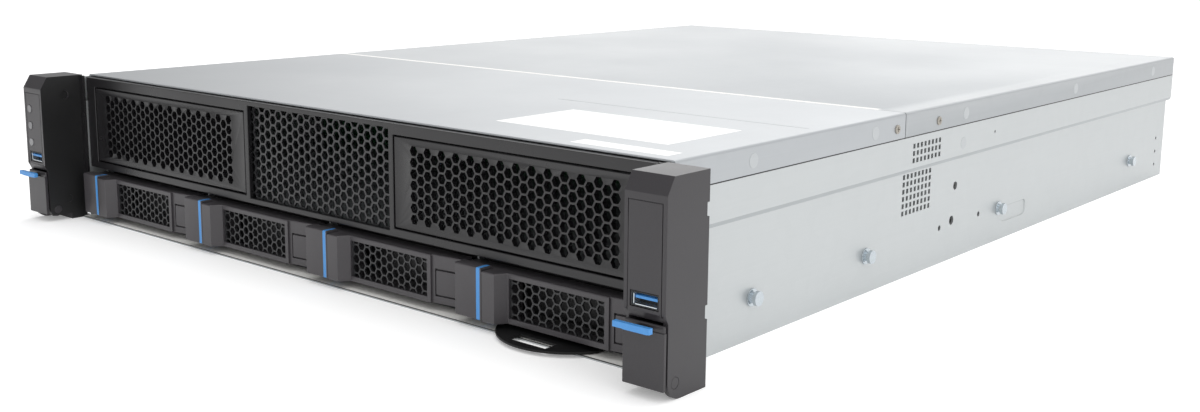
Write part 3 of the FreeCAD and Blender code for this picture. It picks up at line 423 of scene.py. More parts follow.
wallSteel = platedMetal("wallSteel", (188, 192, 193), (200, 203, 204), 0.38, 0.46, 0.7, 0.15)
coverSteel = platedMetal("coverSteel", (164, 168, 170), (178, 181, 184), 0.30, 0.38, 0.75, 0.15)
coverPaper = stickeredCover()
dotSteel = platedMetal("dotSteel", (180, 184, 186), (194, 197, 199), 0.34, 0.42, 0.75, 0.15)
# darker steel for painted shade on the downward slope of the wall step
stepShadeSteel = platedMetal("stepShadeSteel", (166, 170, 172), (180, 184, 186), 0.38, 0.46, 0.7, 0.15)
studSteel = platedMetal("studSteel", (172, 182, 189), (210, 216, 220), 0.14, 0.22, 0.95, 0.2, 0.4)
# near-white steel for painted highlights: the pan's lip and the strip along the rear cover's front edge
highlightSteel = platedMetal("highlightSteel", (246, 245, 241), (252, 251, 248), 0.4, 0.5, 0.0, 0.1)
innerSteel = platedMetal("innerSteel", (150, 153, 155), (176, 179, 180), 0.4, 0.5)
brightSteel = platedMetal("brightSteel", (196, 204, 208), (228, 233, 236), 0.18, 0.28, 0.9, 0.3, 0.5)
caseSteel = platedMetal("caseSteel", (150, 152, 154), (178, 180, 181), 0.36, 0.46)
earPlastic = mouldedPlastic("earPlastic", (46, 44, 47), (55, 53, 56), 0.30, 0.38)
bezelPlastic = mouldedPlastic("bezelPlastic", (22, 21, 23), (29, 28, 30), 0.26, 0.34, level=0.55)
carrierPlastic = mouldedPlastic("carrierPlastic", (61, 59, 62), (71, 68, 71), 0.30, 0.38, level=0.55)
grillePaint = mouldedPlastic("grillePaint", (34, 34, 36), (42, 42, 44), 0.32, 0.42, 1200, level=0.6)
tabPlastic = mouldedPlastic("tabPlastic", (18, 18, 19), (25, 25, 26), 0.45, 0.55, level=0.25)
bluePlastic = mouldedPlastic("bluePlastic", (64, 136, 204), (80, 152, 218), 0.36, 0.46, 1500, 0.00002)
buttonPlastic = mouldedPlastic("buttonPlastic", (112, 112, 114), (126, 126, 128), 0.25, 0.35, 2200, 0.00001)
lightPlastic = mouldedPlastic("lightPlastic", (120, 120, 122), (140, 140, 142), 0.2, 0.3, 2200, 0.00001)
darkPlastic = mouldedPlastic("darkPlastic", (18, 18, 19), (26, 26, 27), 0.4, 0.5)
boardGreen = mouldedPlastic("boardGreen", (22, 66, 38), (34, 86, 52), 0.35, 0.5, 600)
finMetal = platedMetal("finMetal", (168, 170, 172), (196, 198, 200), 0.3, 0.4, 0.9, 0.1, 0.6)
driveMetal = platedMetal("driveMetal", (122, 124, 126), (140, 142, 144), 0.34, 0.44, 0.8, 0.1, 0.4)
screwSteel = platedMetal("screwSteel", (150, 145, 136), (172, 167, 158), 0.25, 0.35, 0.8, 0.1)
print("materials ready")


# Steel chassis
nodeFinish = {
    "drive_cage": innerSteel, "ear_brackets": wallSteel, "rail_studs": studSteel,
    "backplane": boardGreen, "system_board": boardGreen, "memory_modules": boardGreen,
    "cpu_heatsink": finMetal, "fan_frames": darkPlastic, "status_light": lightPlastic,
    "power_button": buttonPlastic, "locator_button": buttonPlastic,
}
for number in range(1, 4):
    nodeFinish["fan_rotor_%d" % number] = darkPlastic
for nodeName, material in nodeFinish.items():
    dress(frame["nodes"][nodeName], material)

earFront = -329.25  # depths on the walls count back from here
sheetAngle = 15  # sheet metal keeps every fold sharper than this

rightWall = {
    # depth, height, radius
    "holes": [(284.5, 40.5, 2.3), (282.0, 21.7, 2.5), (267.9, 19.7, 1.5), (316.3, 19.8, 1.5),
              (329.9, 65.2, 0.8), (616.0, 9.5, 1.2), (616.0, 19.2, 1.2), (616.0, 28.8, 1.2)],
    "face": 220.0, "holeLength": 8.0, "holeSides": 24,
    # pressed recess low on the wall: depths, heights, floor and top of the cut, corner, slope
    "recess": (347.0, 382.0, 9.8, 19.0), "recessCut": (219.4, 222.0),
    "recessCorner": 3.5, "recessSlope": 0.55,
}


def recessCutter():
    front, back, low, high = rightWall["recess"]
    near, far = rightWall["recessCut"]
    cutter = addBlock("wallRecess", (near, front + earFront, low), (far, back + earFront, high))
    bevelEdges(cutter, lambda a, b: abs(a.x - b.x) > 1, rightWall["recessCorner"], 6)
    softenEdges(cutter, rightWall["recessSlope"], 3)
    return cutter


# The downward-facing slope of the step along each wall is painted darker than the sheet, as painted shade
def makeWall(side, sign):
    piece = copySolid("side_wall_" + side, side + "Wall")
    for index, (depth, height, radius) in enumerate(rightWall["holes"] if sign > 0 else []):
        spot = (rightWall["face"], depth + earFront, height)
        cutAway(piece, addRound("wallHole%d" % index, spot, radius, rightWall["holeLength"],
                                rightWall["holeSides"]))
    if sign > 0:
        cutAway(piece, recessCutter())
    smoothFaces(piece, sheetAngle)
    standFor(piece, "side_wall_" + side, wallSteel)
    # painted shade: the step's downward-facing slope takes the darker steel
    paint(piece, stepShadeSteel, lambda face: face.normal.x * sign > 0.5 and -0.8 < face.normal.z < -0.2)


makeWall("left", -1)
makeWall("right", 1)

floorPan = {"lipFront": -307.65, "lipBack": -296.0, "seam": 0.65}


# The top of the pan's front lip is painted near-white as a painted highlight, and its front face above the
# seam height is painted dark as the painted shade of its folded edge
def makeFloorPan():
    pan = copySolid("base_pan", "basePan")
    bisect(pan, (0, 0, floorPan["seam"]), (0, 0, 1))
    bisect(pan, (0, floorPan["lipBack"], 0), (0, 1, 0))
    smoothFaces(pan, sheetAngle)
    standFor(pan, "base_pan", wallSteel)
    lipFront, lipBack = floorPan["lipFront"] * mm, floorPan["lipBack"] * mm
    # painted highlight: the lip's top takes near-white steel
    paint(pan, highlightSteel, lambda face: lipFront <= face.center.y < lipBack and face.normal.z > 0.9)
    # painted shade: the pan's front face above the seam height takes dark plastic, for the dark line of the
    # folded edge
    paint(pan, darkPlastic, lambda face: face.center.y < lipFront and face.center.z >= floorPan["seam"] * mm)


makeFloorPan()

wallMarks = {
    # screws on the covers' flanges: depth and height of each, how far it sinks in, slit sizes and depth
    "screws": [(213.3, 79.0), (258.9, 78.6)], "screwRadius": 2.3, "screwRise": 0.6, "flange": 221.0,
    "screwSink": 0.3, "screwSoft": 0.25, "slits": [(0.5, 2.6), (2.6, 0.5)], "slitDepth": 0.45,
    # flat pressed dots where the flange is welded
    "dots": [(86.0, 79.5), (191.3, 79.5), (291.2, 79.5), (448.4, 79.5), (594.7, 79.5), (289.8, 63.4)],
    "dotRadius": 3.3, "dotRise": 0.12, "dotSink": 0.2, "dotSides": 40,
    # washers of the rail studs
    "studs": [89.1, 188.5, 343.0, 561.2], "studHeight": 19.0, "washerRadius": 4.1, "washerRise": 0.7,
    "washerSoft": 0.25,
}


def makeScrew(spot, side):
    low = wallMarks["flange"] - wallMarks["screwSink"]
    length = wallMarks["screwRise"] + wallMarks["screwSink"]
    place = (side * (low + length / 2), spot[0] + earFront, spot[1])
    head = addRound("screwHead", place, wallMarks["screwRadius"], length)
    softenEdges(head, wallMarks["screwSoft"], 3)
    top = side * (low + length)
    deep = wallMarks["slitDepth"]
    for wide, high in wallMarks["slits"]:
        slit = addBlock("screwSlit", (top - deep, place[1] - wide / 2, place[2] - high / 2),
                        (top + deep, place[1] + wide / 2, place[2] + high / 2))
        cutAway(head, slit)
    return head


def makeWallMarks():
    screws = [makeScrew(spot, side) for side in (-1, 1) for spot in wallMarks["screws"]]
    fixTo(joinPieces("coverScrews", screws), "chassis", screwSteel)
    dots = []
    washers = []
    for side in (-1, 1):
        for depth, height in wallMarks["dots"]:
            place = (side * (wallMarks["flange"] - wallMarks["dotSink"]), depth + earFront, height)
            thick = 2 * (wallMarks["dotSink"] + wallMarks["dotRise"])
            dots.append(addRound("pressedDot", place, wallMarks["dotRadius"], thick, wallMarks["dotSides"]))
            softenEdges(dots[-1], wallMarks["dotRise"], 2)
        for depth in wallMarks["studs"]:
            thick = wallMarks["washerRise"]
            place = (side * (rightWall["face"] + thick / 2), depth + earFront, wallMarks["studHeight"])
            washers.append(addRound("studWasher", place, wallMarks["washerRadius"], thick))
            softenEdges(washers[-1], wallMarks["washerSoft"], 2)
    fixTo(joinPieces("pressedDots", dots), "chassis", dotSteel)
    fixTo(joinPieces("studWashers", washers), "chassis", studSteel)


# Dark blocks of painted shade, one in the gap under each cover's flange and one behind the vents: near, far,
# front, back, low, high
shadeStrips = {
    "seam": (220.2, 220.94, -298.0, 310.5, 73.25, 73.9), "seamSoft": 0.1,
    "vents": (217.4, 218.3, -106.0, -62.0, 26.0, 73.0), "ventSoft": 0.2,
}


def makeShadeStrips():
    for side, sign in (("Left", -1), ("Right", 1)):
        near, far, front, back, low, high = shadeStrips["seam"]
        x = mirrored(sign, near, far)
        # painted shade: a dark strip in the gap under the cover's flange
        seam = addBlock("coverSeamShade" + side, (x[0], front, low), (x[1], back, high))
        softenEdges(seam, shadeStrips["seamSoft"], 2)
        fixTo(seam, "chassis", darkPlastic)
    # painted shade: a dark block behind the vents
    near, far, front, back, low, high = shadeStrips["vents"]
    shadeBlock = addBlock("ventShadeBlock", (near, front, low), (far, back, high))
    softenEdges(shadeBlock, shadeStrips["ventSoft"], 2)
    fixTo(shadeBlock, "chassis", darkPlastic)


# Covers: a shallow crease across the front one, and a strip of painted highlight along the rear one's front
# edge
covers = {
    "soft": 0.2, "softAngle": 50, "crease": ((60, -188.6, 86.25), (214, -188.1, 87)),
    "stripBack": -103.4, "stripRight": 205,
}


def makeCovers():
    front = copySolid("front_cover", "frontCover")
    softenEdges(front, covers["soft"], 2, covers["softAngle"])
    cutAway(front, addBlock("coverCrease", *covers["crease"]))
    smoothFaces(front)
    standFor(front, "front_cover", coverPaper)
    back = copySolid("rear_cover", "rearCover")
    softenEdges(back, covers["soft"], 2, covers["softAngle"])
    standFor(back, "rear_cover", coverSteel)
    bisect(back, (0, covers["stripBack"], 0), (0, 1, 0))
    bisect(back, (covers["stripRight"], 0, 0), (1, 0, 0))
    # painted highlight: the upward faces of the rear cover's front strip take near-white steel
    paint(back, highlightSteel, lambda face: (face.center.y / mm < covers["stripBack"] and face.normal.z > 0.3
                                        and face.center.x / mm < covers["stripRight"]))


makeWallMarks()
makeShadeStrips()
makeCovers()
print("chassis dressed")


# Ears with their latches
earMarks = {
    # grooves round the front panel: its inner and outer edge, low and high, groove width and depth
    "panel": (222.6, 238.9, 31.5, 76.4), "groove": 0.4, "grooveDepth": 0.45, "grooveLead": 1.0,
    # round recesses in the inner face: depth, height, radius, depth of cut
    "inner": [(14.5, 75.3, 2.6, 1.3), (13.6, 12.7, 2.4, 0.3)], "innerFace": 220.7, "innerSides": 36,
    "soft": 0.45, "softAngle": 25, "planeReach": 1.5,
    # dark strip between ear and bezel, with a lip turned back along the bracket
    "trim": (217.27, 220.6, 2.6, 86.2), "trimFront": -304.6, "trimBack": -304.15, "trimLip": (217.58, -303.1),
    "trimOverlap": 0.1, "trimSoft": 0.06,
}


def cutGrooves(ear, sign):
    near, far, low, high = earMarks["panel"]
    half = earMarks["groove"] / 2
    deep = (earFront - earMarks["grooveLead"], earFront + earMarks["grooveDepth"])
    for a, b, c, d in ((near - half, near + half, low, high), (far - half, far + half, low, high),
                       (near - half, far + half, high - half, high + half)):
        x = mirrored(sign, a, b)
        cutAway(ear, addBlock("earGroove", (x[0], deep[0], c), (x[1], deep[1], d)))


# Faces of a piece that look one way and lie near one plane take a second material
def paintPlane(piece, material, axis, way, place):
    paint(piece, material, lambda face: (face.normal[axis] * way > 0.9
                                         and abs(face.center[axis] / mm - place) < earMarks["planeReach"]))


def makeTrim(side, sign):
    near, far, low, high = earMarks["trim"]
    front, back = earMarks["trimFront"], earMarks["trimBack"]
    x = mirrored(sign, near, far)
    trim = addBlock("bezelTrim" + side.title(), (x[0], front, low), (x[1], back, high))
    lipEdge, lipBack = earMarks["trimLip"]
    x = mirrored(sign, near, lipEdge)
    lip = addBlock("trimLip", (x[0], back - earMarks["trimOverlap"], low), (x[1], lipBack, high))
    joinPieces(trim.name, [trim, lip])
    softenEdges(trim, earMarks["trimSoft"], 2)
    fixTo(trim, "chassis", bezelPlastic)


def makeEar(side, sign):
    ear = copySolid("ear_housing_" + side, "earHousing" + side.title())
    softenEdges(ear, earMarks["soft"], 2, earMarks["softAngle"])
    for depth, height, radius, cut in earMarks["inner"]:
        spot = (sign * earMarks["innerFace"], depth + earFront, height)
        cutAway(ear, addRound("earRecess", spot, radius, 2 * cut, earMarks["innerSides"]))
    cutGrooves(ear, sign)
    smoothFaces(ear)
    standFor(ear, "ear_housing_" + side, earPlastic)
    # The inner face takes dark plastic; the floors of the round recesses, within the plane's reach, are
    # painted dark as painted shade
    paintPlane(ear, darkPlastic, 0, -sign, sign * earMarks["innerFace"])


usbSocket = {
    # tongue, and a dark block of painted shade inside the socket: across, heights, depths
    "tongue": (225.8, 236.6, 38.5, 39.7, 1.0, 9.0), "tongueSoft": 0.25,
    "shadeBlock": (224.6, 236.8, 36.1, 40.8, 4.5, 13.0), "shadeBlockSoft": 0.2,
    # bright left edge and foot inside the shell: from its left, heights; depths of both
    "middle": 230.7, "half": 6.6, "edge": (1.2, 1.6, 36.4, 40.4), "foot": (2.0, 12.4, 36.1, 36.5),
    "edgeDepths": (0.35, 4.4), "edgeSoft": 0.08, "shellFront": -328.95,
}


def makeSocket(side, sign):
    near, far, low, high, front, back = usbSocket["tongue"]
    x = mirrored(sign, near, far)
    tongue = addBlock("usbTongue" + side.title(), (x[0], earFront + front, low),
                      (x[1], earFront + back, high))
    softenEdges(tongue, usbSocket["tongueSoft"], 2)
    fixTo(tongue, "chassis", bluePlastic)
    # painted shade: a dark block fills the socket behind its mouth
    near, far, low, high, front, back = usbSocket["shadeBlock"]
    x = mirrored(sign, near, far)
    shadeBlock = addBlock("usbShadeBlock" + side.title(), (x[0], earFront + front, low), (x[1], earFront + back, high))
    softenEdges(shadeBlock, usbSocket["shadeBlockSoft"], 2)
    fixTo(shadeBlock, "chassis", darkPlastic)
    start = sign * usbSocket["middle"] - usbSocket["half"]
    front, back = [earFront + depth for depth in usbSocket["edgeDepths"]]
    bars = []
    for name, bar in (("usbEdge" + side.title(), usbSocket["edge"]), ("usbFoot", usbSocket["foot"])):
        near, far, low, high = bar
        bars.append(addBlock(name, (start + near, front, low), (start + far, back, high)))
    edge = joinPieces(bars[0].name, bars)
    softenEdges(edge, usbSocket["edgeSoft"], 2)
    fixTo(edge, "chassis", brightSteel)


def makeShells():
    shells = copySolid("usb_ports", "usbShells")
    smoothFaces(shells)
    standFor(shells, "usb_ports", brightSteel)
    # painted shade: the shells' front faces take dark plastic
    paintPlane(shells, darkPlastic, 1, -1, usbSocket["shellFront"])


rackLatch = {
    "soft": 0.8, "softAngle": 30,
    # shoulder behind the finger tab: across, front and back, heights
    "shoulder": (221.2, 240.5, -329.3, -327.6, 26.6, 30.1), "shoulderSoft": 0.7,
    # finger tab, cut to a bar on a narrow neck: each cut's span and front, the cuts' back and heights
    "tabCuts": [(238.6, 245.0, -340.0), (218.0, 227.0, -333.85), (234.0, 245.0, -333.85)],
    "tabBack": -328.5, "tabHeights": (26.0, 32.0), "tabSoft": 0.14, "neckFront": -333.9,
    "pinSoft": 0.35, "pinAngle": 50,
}


def makeLatch(side, sign):
    latch = copySolid("rack_latch_" + side, "rackLatch" + side.title())
    softenEdges(latch, rackLatch["soft"], 3, rackLatch["softAngle"])
    standFor(latch, "rack_latch_" + side, earPlastic)
    near, far, front, back, low, high = rackLatch["shoulder"]
    x = mirrored(sign, near, far)
    shoulder = addBlock("latchShoulder" + side.title(), (x[0], front, low), (x[1], back, high))
    softenEdges(shoulder, rackLatch["shoulderSoft"], 3)
    fixTo(shoulder, "rack_latch_" + side, earPlastic)
    tab = copySolid("latch_tab_" + side, "latchTab" + side.title())
    low, high = rackLatch["tabHeights"]
    for near, far, front in rackLatch["tabCuts"]:
        x = mirrored(sign, near, far)
        cutAway(tab, addBlock("tabTrim", (x[0], front, low), (x[1], rackLatch["tabBack"], high)))
    softenEdges(tab, rackLatch["tabSoft"], 2, rackLatch["softAngle"])
    standFor(tab, "latch_tab_" + side, bluePlastic)
    # painted shade: the tab's neck behind the bar takes dark plastic
    paint(tab, darkPlastic, lambda face: face.center.y / mm > rackLatch["neckFront"])


makeShells()
for side, sign in (("left", -1), ("right", 1)):
    makeSocket(side, sign)
    makeTrim(side, sign)
    makeEar(side, sign)
    makeLatch(side, sign)
pins = copySolid("latch_pins", "latchPins")
softenEdges(pins, rackLatch["pinSoft"], 3, rackLatch["pinAngle"])
standFor(pins, "latch_pins", earPlastic)
print("ears dressed")


hexLength = 12  # how far the honeycombs' cutters reach in all


# Honeycomb sheets: a plate with hexagons cut right through, in two interleaved fields
def hexCutter(name, x, z, flat, y, columns, rows, pitch):
    deselectAll()
    across = math.sqrt(3) * pitch
    fields = []
    for index, (wide, high) in enumerate(((columns, rows), (columns - 1, rows - 1))):
        start = (x - (wide - 1) * across / 2, y, z - (high - 1) * pitch / 2)
        bpy.ops.mesh.primitive_cylinder_add(vertices=6, radius=flat / math.sqrt(3) * mm,
                                            depth=hexLength * mm, location=[v * mm for v in start],
                                            rotation=(math.pi / 2, math.pi / 6, 0))
        cell = bpy.context.object
        cell.name = name + "Field%d" % index
        settle(cell)
        repeat(cell, high, (0, 0, pitch))
        repeat(cell, wide, (across, 0, 0))
        fields.append(cell)
    return joinPieces(name, fields)


fillers = {"flat": 4.45, "pitch": 5.38, "columns": 14, "rows": 7, "soft": 0.35, "inset": (0.4, 0.45)}
centre = {"flat": 4.35, "pitch": 5.38, "columns": 13, "rows": 10}
carrierMesh = {"flat": 3.95, "pitch": 4.72, "columns": 7, "rows": 5}


def nodeBox(nodeName):
    low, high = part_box(nodeName)
    return [v / mm for v in low], [v / mm for v in high]


def makeHoneycomb(nodeName, pieceName, sizes, material):
    low, high = nodeBox(nodeName)
    inset = sizes.get("inset", (0, 0))
    plate = addBlock(pieceName, (low[0] + inset[0], low[1], low[2] + inset[1]),
                     (high[0] - inset[0], high[1], high[2] - inset[1]))
    if "soft" in sizes:
        softenEdges(plate, sizes["soft"])
    middle = [(a + b) / 2 for a, b in zip(low, high)]
    cutAway(plate, hexCutter(pieceName + "Cut", middle[0], middle[2], sizes["flat"], middle[1],
                             sizes["columns"], sizes["rows"], sizes["pitch"]))
    flatFaces(plate)
    standFor(plate, nodeName, material)


makeHoneycomb("left_filler_panel", "leftFiller", fillers, bezelPlastic)
makeHoneycomb("right_filler_panel", "rightFiller", fillers, bezelPlastic)
makeHoneycomb("center_grille", "centreGrille", centre, grillePaint)
for number in range(1, 5):
    makeHoneycomb("carrier_mesh_%d" % number, "carrierMesh%d" % number, carrierMesh, grillePaint)
bezelSoft = {"width": 0.4, "angle": 30}
bezel = copySolid("front_bezel", "frontBezel")
softenEdges(bezel, bezelSoft["width"], 2, bezelSoft["angle"])
standFor(bezel, "front_bezel", bezelPlastic)
print("grilles cut")


# Drive carriers
carrier = {
    "pitch": 106.7, "stripLeft": 15.6, "stripRight": 17.8, "soft": 0.16, "latchSoft": 0.3,
    "softAngle": 20, "sharpAngle": 25,
    # rounder rim along the top edges, but not at the back
    "top": 27.6, "latchTop": 28.8, "rim": 0.5, "rimBack": -296.0,
    # plate on the leaning end face: along the face, heights, middle of the face, lean in degrees
    "endPlate": (-6.0, 6.6, 9.0, 20.5), "endMiddle": (95.7, -303.45), "endLean": 6.71, "endRise": 0.3,
    "endSink": 0.3, "endSoft": 0.35,
    # pocket that the plate sits in, cut from just before the face
    "endPocket": (-6.7, 7.3, 8.2, 21.3), "endDepth": 1.2, "pocketLead": 1.5,
    # faces in front of this are painted dark as painted shade behind the mesh
    "shadeBack": -288.0,
}


def onTopRim(top):
    return lambda a, b: min(a.z, b.z) > top - 0.05 and min(a.y, b.y) < carrier["rimBack"]


def leanBack(piece, left):
    piece.rotation_euler = (0, 0, math.radians(carrier["endLean"]))
    piece.location = [v * mm for v in (left + carrier["endMiddle"][0], carrier["endMiddle"][1], 0)]
    settle(piece)


def makeEndPlate(number, left):
    near, far, low, high = carrier["endPlate"]
    back = carrier["endDepth"] + carrier["endSink"]
    plate = addBlock("endPlate%d" % number, (near, -carrier["endRise"], low), (far, back, high))
    softenEdges(plate, carrier["endSoft"], 2)
    leanBack(plate, left)
    fixTo(plate, "carrier_%d" % number, carrierPlastic)


def makeCarrier(number):
    left = (number - 3) * carrier["pitch"]
    front = copySolid("carrier_front_%d" % number, "carrierFront%d" % number)
    bevelEdges(front, onTopRim(carrier["top"]), carrier["rim"], 3)
    softenEdges(front, carrier["soft"], 2, carrier["softAngle"])
    near, far, low, high = carrier["endPocket"]
    pocket = addBlock("endPocket", (near, -carrier["pocketLead"], low), (far, carrier["endDepth"], high))
    leanBack(pocket, left)
    cutAway(front, pocket)
    smoothFaces(front, carrier["sharpAngle"])
    makeEndPlate(number, left)
    standFor(front, "carrier_front_%d" % number, carrierPlastic)
    latch = copySolid("carrier_latch_%d" % number, "carrierLatch%d" % number)
    bevelEdges(latch, onTopRim(carrier["latchTop"]), carrier["rim"], 3)
    softenEdges(latch, carrier["latchSoft"], 2, carrier["softAngle"])
    for edge in ("stripLeft", "stripRight"):
        bisect(latch, (left + carrier[edge], 0, 0), (1, 0, 0))
    standFor(latch, "carrier_latch_%d" % number, carrierPlastic)
    paint(latch, bluePlastic,
          lambda face: carrier["stripLeft"] < face.center.x / mm - left < carrier["stripRight"])


def makeDrive(number):
    for nodeName, pieceName, material in (("drive_%d", "drive%d", driveMetal),
                                          ("carrier_frame_%d", "carrierFrame%d", innerSteel)):
        piece = copySolid(nodeName % number, pieceName % number)
        smoothFaces(piece)
        standFor(piece, nodeName % number, material)
        # painted shade: faces looking forward, and faces in front of the shade line, take dark plastic behind
        # the carrier mesh
        paint(piece, darkPlastic,
              lambda face: face.normal.y < -0.5 or face.center.y / mm < carrier["shadeBack"])


for number in range(1, 5):
    makeCarrier(number)
for number in range(1, 5):
    makeDrive(number)
tabSoft = {"width": 0.3, "angle": 40}
tab = copySolid("info_tab", "infoTab")
softenEdges(tab, tabSoft["width"], 2, tabSoft["angle"])
standFor(tab, "info_tab", tabPlastic)
print("carriers dressed")


# Rear panel, its slot covers and ports: all guessed, since the photograph shows no rear
rear = {
    "face": 302.75,
    # vents: middle across and up, columns, rows
    "vents": [(-143.8, 63.5, 15, 6), (15.0, 54.0, 15, 8)], "ventFlat": 4.4, "ventPitch": 5.38,
    # vents of the slot covers
    "slots": 5, "slotPitch": 20.32, "slotLeft": 107.7, "slotMiddle": 43.0, "slotColumns": 2, "slotRows": 13,
    "slotFlat": 3.7, "slotPitchUp": 4.6,
    # mouths of the ports: first one's middle, spacing, height, half sizes
    "ports": 4, "portLeft": -43.8, "portPitch": 20.0, "portMiddle": 14.6, "portHalf": (7.3, 6.1),
    "portRim": 303.7,
}


def inPortMouth(face):
    x, y, z = face.center / mm
    wide, high = rear["portHalf"]
    aside = min(abs(x - rear["portLeft"] - index * rear["portPitch"]) for index in range(rear["ports"]))
    return aside < wide and abs(z - rear["portMiddle"]) < high and y < rear["portRim"]


def makeRearPanel():
    panel = copySolid("rear_panel", "rearPanel")
    for x, z, columns, rows in rear["vents"]:
        cutAway(panel, hexCutter("rearVent", x, z, rear["ventFlat"], rear["face"], columns, rows,
                                 rear["ventPitch"]))
    flatFaces(panel)
    standFor(panel, "rear_panel", wallSteel)
    slots = copySolid("slot_covers", "slotCovers")
    for index in range(rear["slots"]):
        x = rear["slotLeft"] + index * rear["slotPitch"]
        cutAway(slots, hexCutter("slotVent", x, rear["slotMiddle"], rear["slotFlat"], rear["face"],
                                 rear["slotColumns"], rear["slotRows"], rear["slotPitchUp"]))
    flatFaces(slots)
    standFor(slots, "slot_covers", innerSteel)
    ports = copySolid("rear_ports", "rearPorts")
    smoothFaces(ports)
    standFor(ports, "rear_ports", brightSteel)
    paint(ports, darkPlastic, inPortMouth)


makeRearPanel()

# Power supplies at the back, each with a vent behind its handle and a three-blade mains inlet
supplyBay = {
    "left": -217.8, "pitch": 74.5, "middle": 21.5, "soft": 0.4, "softAngle": 30, "sharpAngle": 25,
    "leverSoft": 0.6,
    "vent": (18.0, 3, 7), "ventFlat": 4.1, "ventPitch": 5.0, "ventBack": 301.25,
    # inlet: middle from the case's left, half width and height, front and back, corner of the mouth
    "inlet": 49.0, "socket": (13.2, 9.7, 289.6, 303.9), "socketSoft": 0.3,
    "mouth": (11.2, 7.6, 292.0), "mouthCorner": 4.0, "mouthLead": 2.0,
    # blades: across, up; half width and height, front and back
    "blades": [(-6.5, -1.8), (0.0, 2.4), (6.5, -1.8)], "blade": (1.0, 2.0, 290.5, 301.0), "bladeSoft": 0.4,
}


def makeInlet(number, left):
    x = left + supplyBay["inlet"]
    z = supplyBay["middle"]
    wide, high, front, back = supplyBay["socket"]
    socket = addBlock("inletSocket%d" % number, (x - wide, front, z - high), (x + wide, back, z + high))
    softenEdges(socket, supplyBay["socketSoft"], 2)
    wide, high, front = supplyBay["mouth"]
    back += supplyBay["mouthLead"]
    mouth = addBlock("inletMouth", (x - wide, front, z - high), (x + wide, back, z + high))
    bevelEdges(mouth, lambda a, b: abs(a.y - b.y) > 5 and a.z > z, supplyBay["mouthCorner"], 1)
    cutAway(socket, mouth)
    smoothFaces(socket)
    fixTo(socket, "power_supply_%d" % number, darkPlastic)
    wide, high, front, back = supplyBay["blade"]
    blades = []
    for across, up in supplyBay["blades"]:
        blades.append(addBlock("inletBlade", (x + across - wide, front, z + up - high),
                               (x + across + wide, back, z + up + high)))
        softenEdges(blades[-1], supplyBay["bladeSoft"], 2)
    fixTo(joinPieces("inletBlades%d" % number, blades), "power_supply_%d" % number, brightSteel)


for number in (1, 2):
    left = supplyBay["left"] + (number - 1) * supplyBay["pitch"]
    supply = copySolid("power_supply_%d" % number, "powerSupply%d" % number)
    softenEdges(supply, supplyBay["soft"], 2, supplyBay["softAngle"])
    across, columns, rows = supplyBay["vent"]
    cutAway(supply, hexCutter("supplyVent", left + across, supplyBay["middle"], supplyBay["ventFlat"],
                              supplyBay["ventBack"], columns, rows, supplyBay["ventPitch"]))
    smoothFaces(supply, supplyBay["sharpAngle"])
    standFor(supply, "power_supply_%d" % number, caseSteel)
    makeInlet(number, left)
    lever = copySolid("supply_latch_%d" % number, "supplyLatch%d" % number)
    softenEdges(lever, supplyBay["leverSoft"], 2, supplyBay["softAngle"])
    standFor(lever, "supply_latch_%d" % number, bluePlastic)
print("rear dressed")


# Studio: pale floor, soft light, camera at the photograph's angle
studio = {
    # floor: size, colour, roughness, own brightness for the part and for the camera
    "floor": 8.0, "floorColour": (250, 250, 250), "floorRough": 0.9, "floorLift": 0.13, "floorSeen": 0.24,
    # soft brightness of the room: direction, where it starts and ends, dim and bright level
    "glows": [((0.75, 0.55, 0.35), -0.95, 0.4, 0.18, 0.97), ((-0.42, 0.89, 0.17), 0.78, 0.99, 0.0, 0.7),
              ((-0.5, -0.86, 0.1), 0.8, 1.0, 0.0, 0.7)],
    # name, place, width, power; all aim at one point
    "lampAim": (0, 0, 0.04),
    "lamps": [("overheadLamp", (0.2, 0.1, 2.2), 2.4, 16), ("sideLamp", (2.4, -0.4, 1.1), 1.6, 4),
              ("frontLamp", (0.5, -1.25, 0.5), 0.6, 1.4)],
}


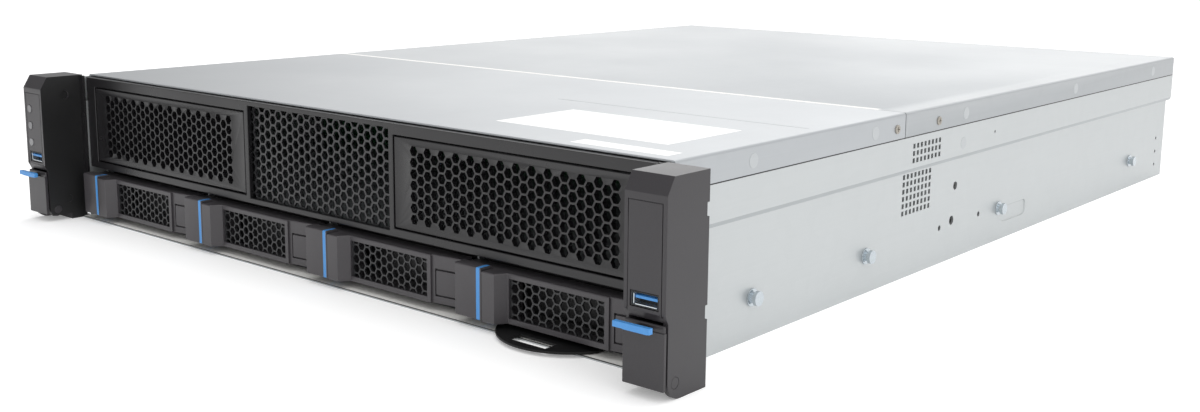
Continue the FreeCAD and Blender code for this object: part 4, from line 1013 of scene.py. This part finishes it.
def makeStudio():
    deselectAll()
    bpy.ops.mesh.primitive_plane_add(size=studio["floor"], location=(0, 0, 0))
    floor = bpy.context.object
    floor.name = "studioFloor"
    coat = bpy.data.materials.new("floorPaint")
    coat.use_nodes = True
    tree = coat.node_tree
    shader = tree.nodes["Principled BSDF"]
    shader.inputs["Base Color"].default_value = rgb(*studio["floorColour"])
    shader.inputs["Roughness"].default_value = studio["floorRough"]
    shader.inputs["Specular IOR Level"].default_value = 0
    shader.inputs["Emission Color"].default_value = (1, 1, 1, 1)
    path = tree.nodes.new("ShaderNodeLightPath")
    lift = tree.nodes.new("ShaderNodeMapRange")
    lift.inputs["To Min"].default_value = studio["floorLift"]
    lift.inputs["To Max"].default_value = studio["floorSeen"]
    wire(tree, path, "Is Camera Ray", lift, "Value")
    wire(tree, lift, "Result", shader, "Emission Strength")
    dress(floor, coat)

    world = bpy.data.worlds.new("studioWorld")
    bpy.context.scene.world = world
    world.use_nodes = True
    tree = world.node_tree
    back = tree.nodes["Background"]
    place = tree.nodes.new("ShaderNodeTexCoord")
    total = None
    for direction, low, high, dim, bright in studio["glows"]:
        aim = tree.nodes.new("ShaderNodeVectorMath")
        aim.operation = "DOT_PRODUCT"
        aim.inputs[1].default_value = Vector(direction).normalized()
        spread = tree.nodes.new("ShaderNodeMapRange")
        spread.interpolation_type = "SMOOTHSTEP"
        spread.inputs["From Min"].default_value = low
        spread.inputs["From Max"].default_value = high
        spread.inputs["To Min"].default_value = dim
        spread.inputs["To Max"].default_value = bright
        wire(tree, place, "Generated", aim, 0)
        wire(tree, aim, "Value", spread, "Value")
        if total is None:
            total = spread
        else:
            both = tree.nodes.new("ShaderNodeMath")
            tree.links.new(total.outputs[0], both.inputs[0])
            tree.links.new(spread.outputs[0], both.inputs[1])
            total = both
    path = tree.nodes.new("ShaderNodeLightPath")
    seen = tree.nodes.new("ShaderNodeMix")
    seen.inputs["B"].default_value = 1
    wire(tree, path, "Is Camera Ray", seen, "Factor")
    tree.links.new(total.outputs[0], seen.inputs["A"])
    wire(tree, seen, "Result", back, "Strength")
    back.inputs["Color"].default_value = (1, 1, 1, 1)

    for name, spot, size, power in studio["lamps"]:
        deselectAll()
        bpy.ops.object.light_add(type="AREA", location=spot)
        lamp = bpy.context.object
        lamp.name = name
        lamp.data.size = size
        lamp.data.energy = power
        aim = Vector(studio["lampAim"]) - Vector(spot)
        lamp.rotation_euler = aim.to_track_quat("-Z", "Y").to_euler()


# Place in metres, angles in degrees, focal length and rows in the photograph's pixels
camera = {
    "place": (0.52707, -0.70697, 0.17521), "yaw": 40.146, "pitch": 9.875, "roll": 0.558,
    "focal": 1325.3, "wide": 1200, "middleRow": 206, "riseRow": 160, "sensor": 36, "clipStart": 0.01,
}


def makeCamera():
    deselectAll()
    bpy.ops.object.camera_add()
    lens = bpy.context.object
    lens.name = "photoCamera"
    lens.matrix_world = (Matrix.Translation(camera["place"])
                         @ Matrix.Rotation(math.radians(camera["yaw"]), 4, "Z")
                         @ Matrix.Rotation(math.radians(90 - camera["pitch"]), 4, "X")
                         @ Matrix.Rotation(math.radians(camera["roll"]), 4, "Z"))
    lens.data.sensor_width = camera["sensor"]
    lens.data.lens = camera["focal"] / camera["wide"] * camera["sensor"]
    lens.data.shift_y = (camera["riseRow"] - camera["middleRow"]) / camera["wide"]
    lens.data.clip_start = camera["clipStart"]
    bpy.context.scene.camera = lens


makeStudio()
makeCamera()
bpy.context.scene.view_settings.view_transform = "Standard"
print("studio ready")
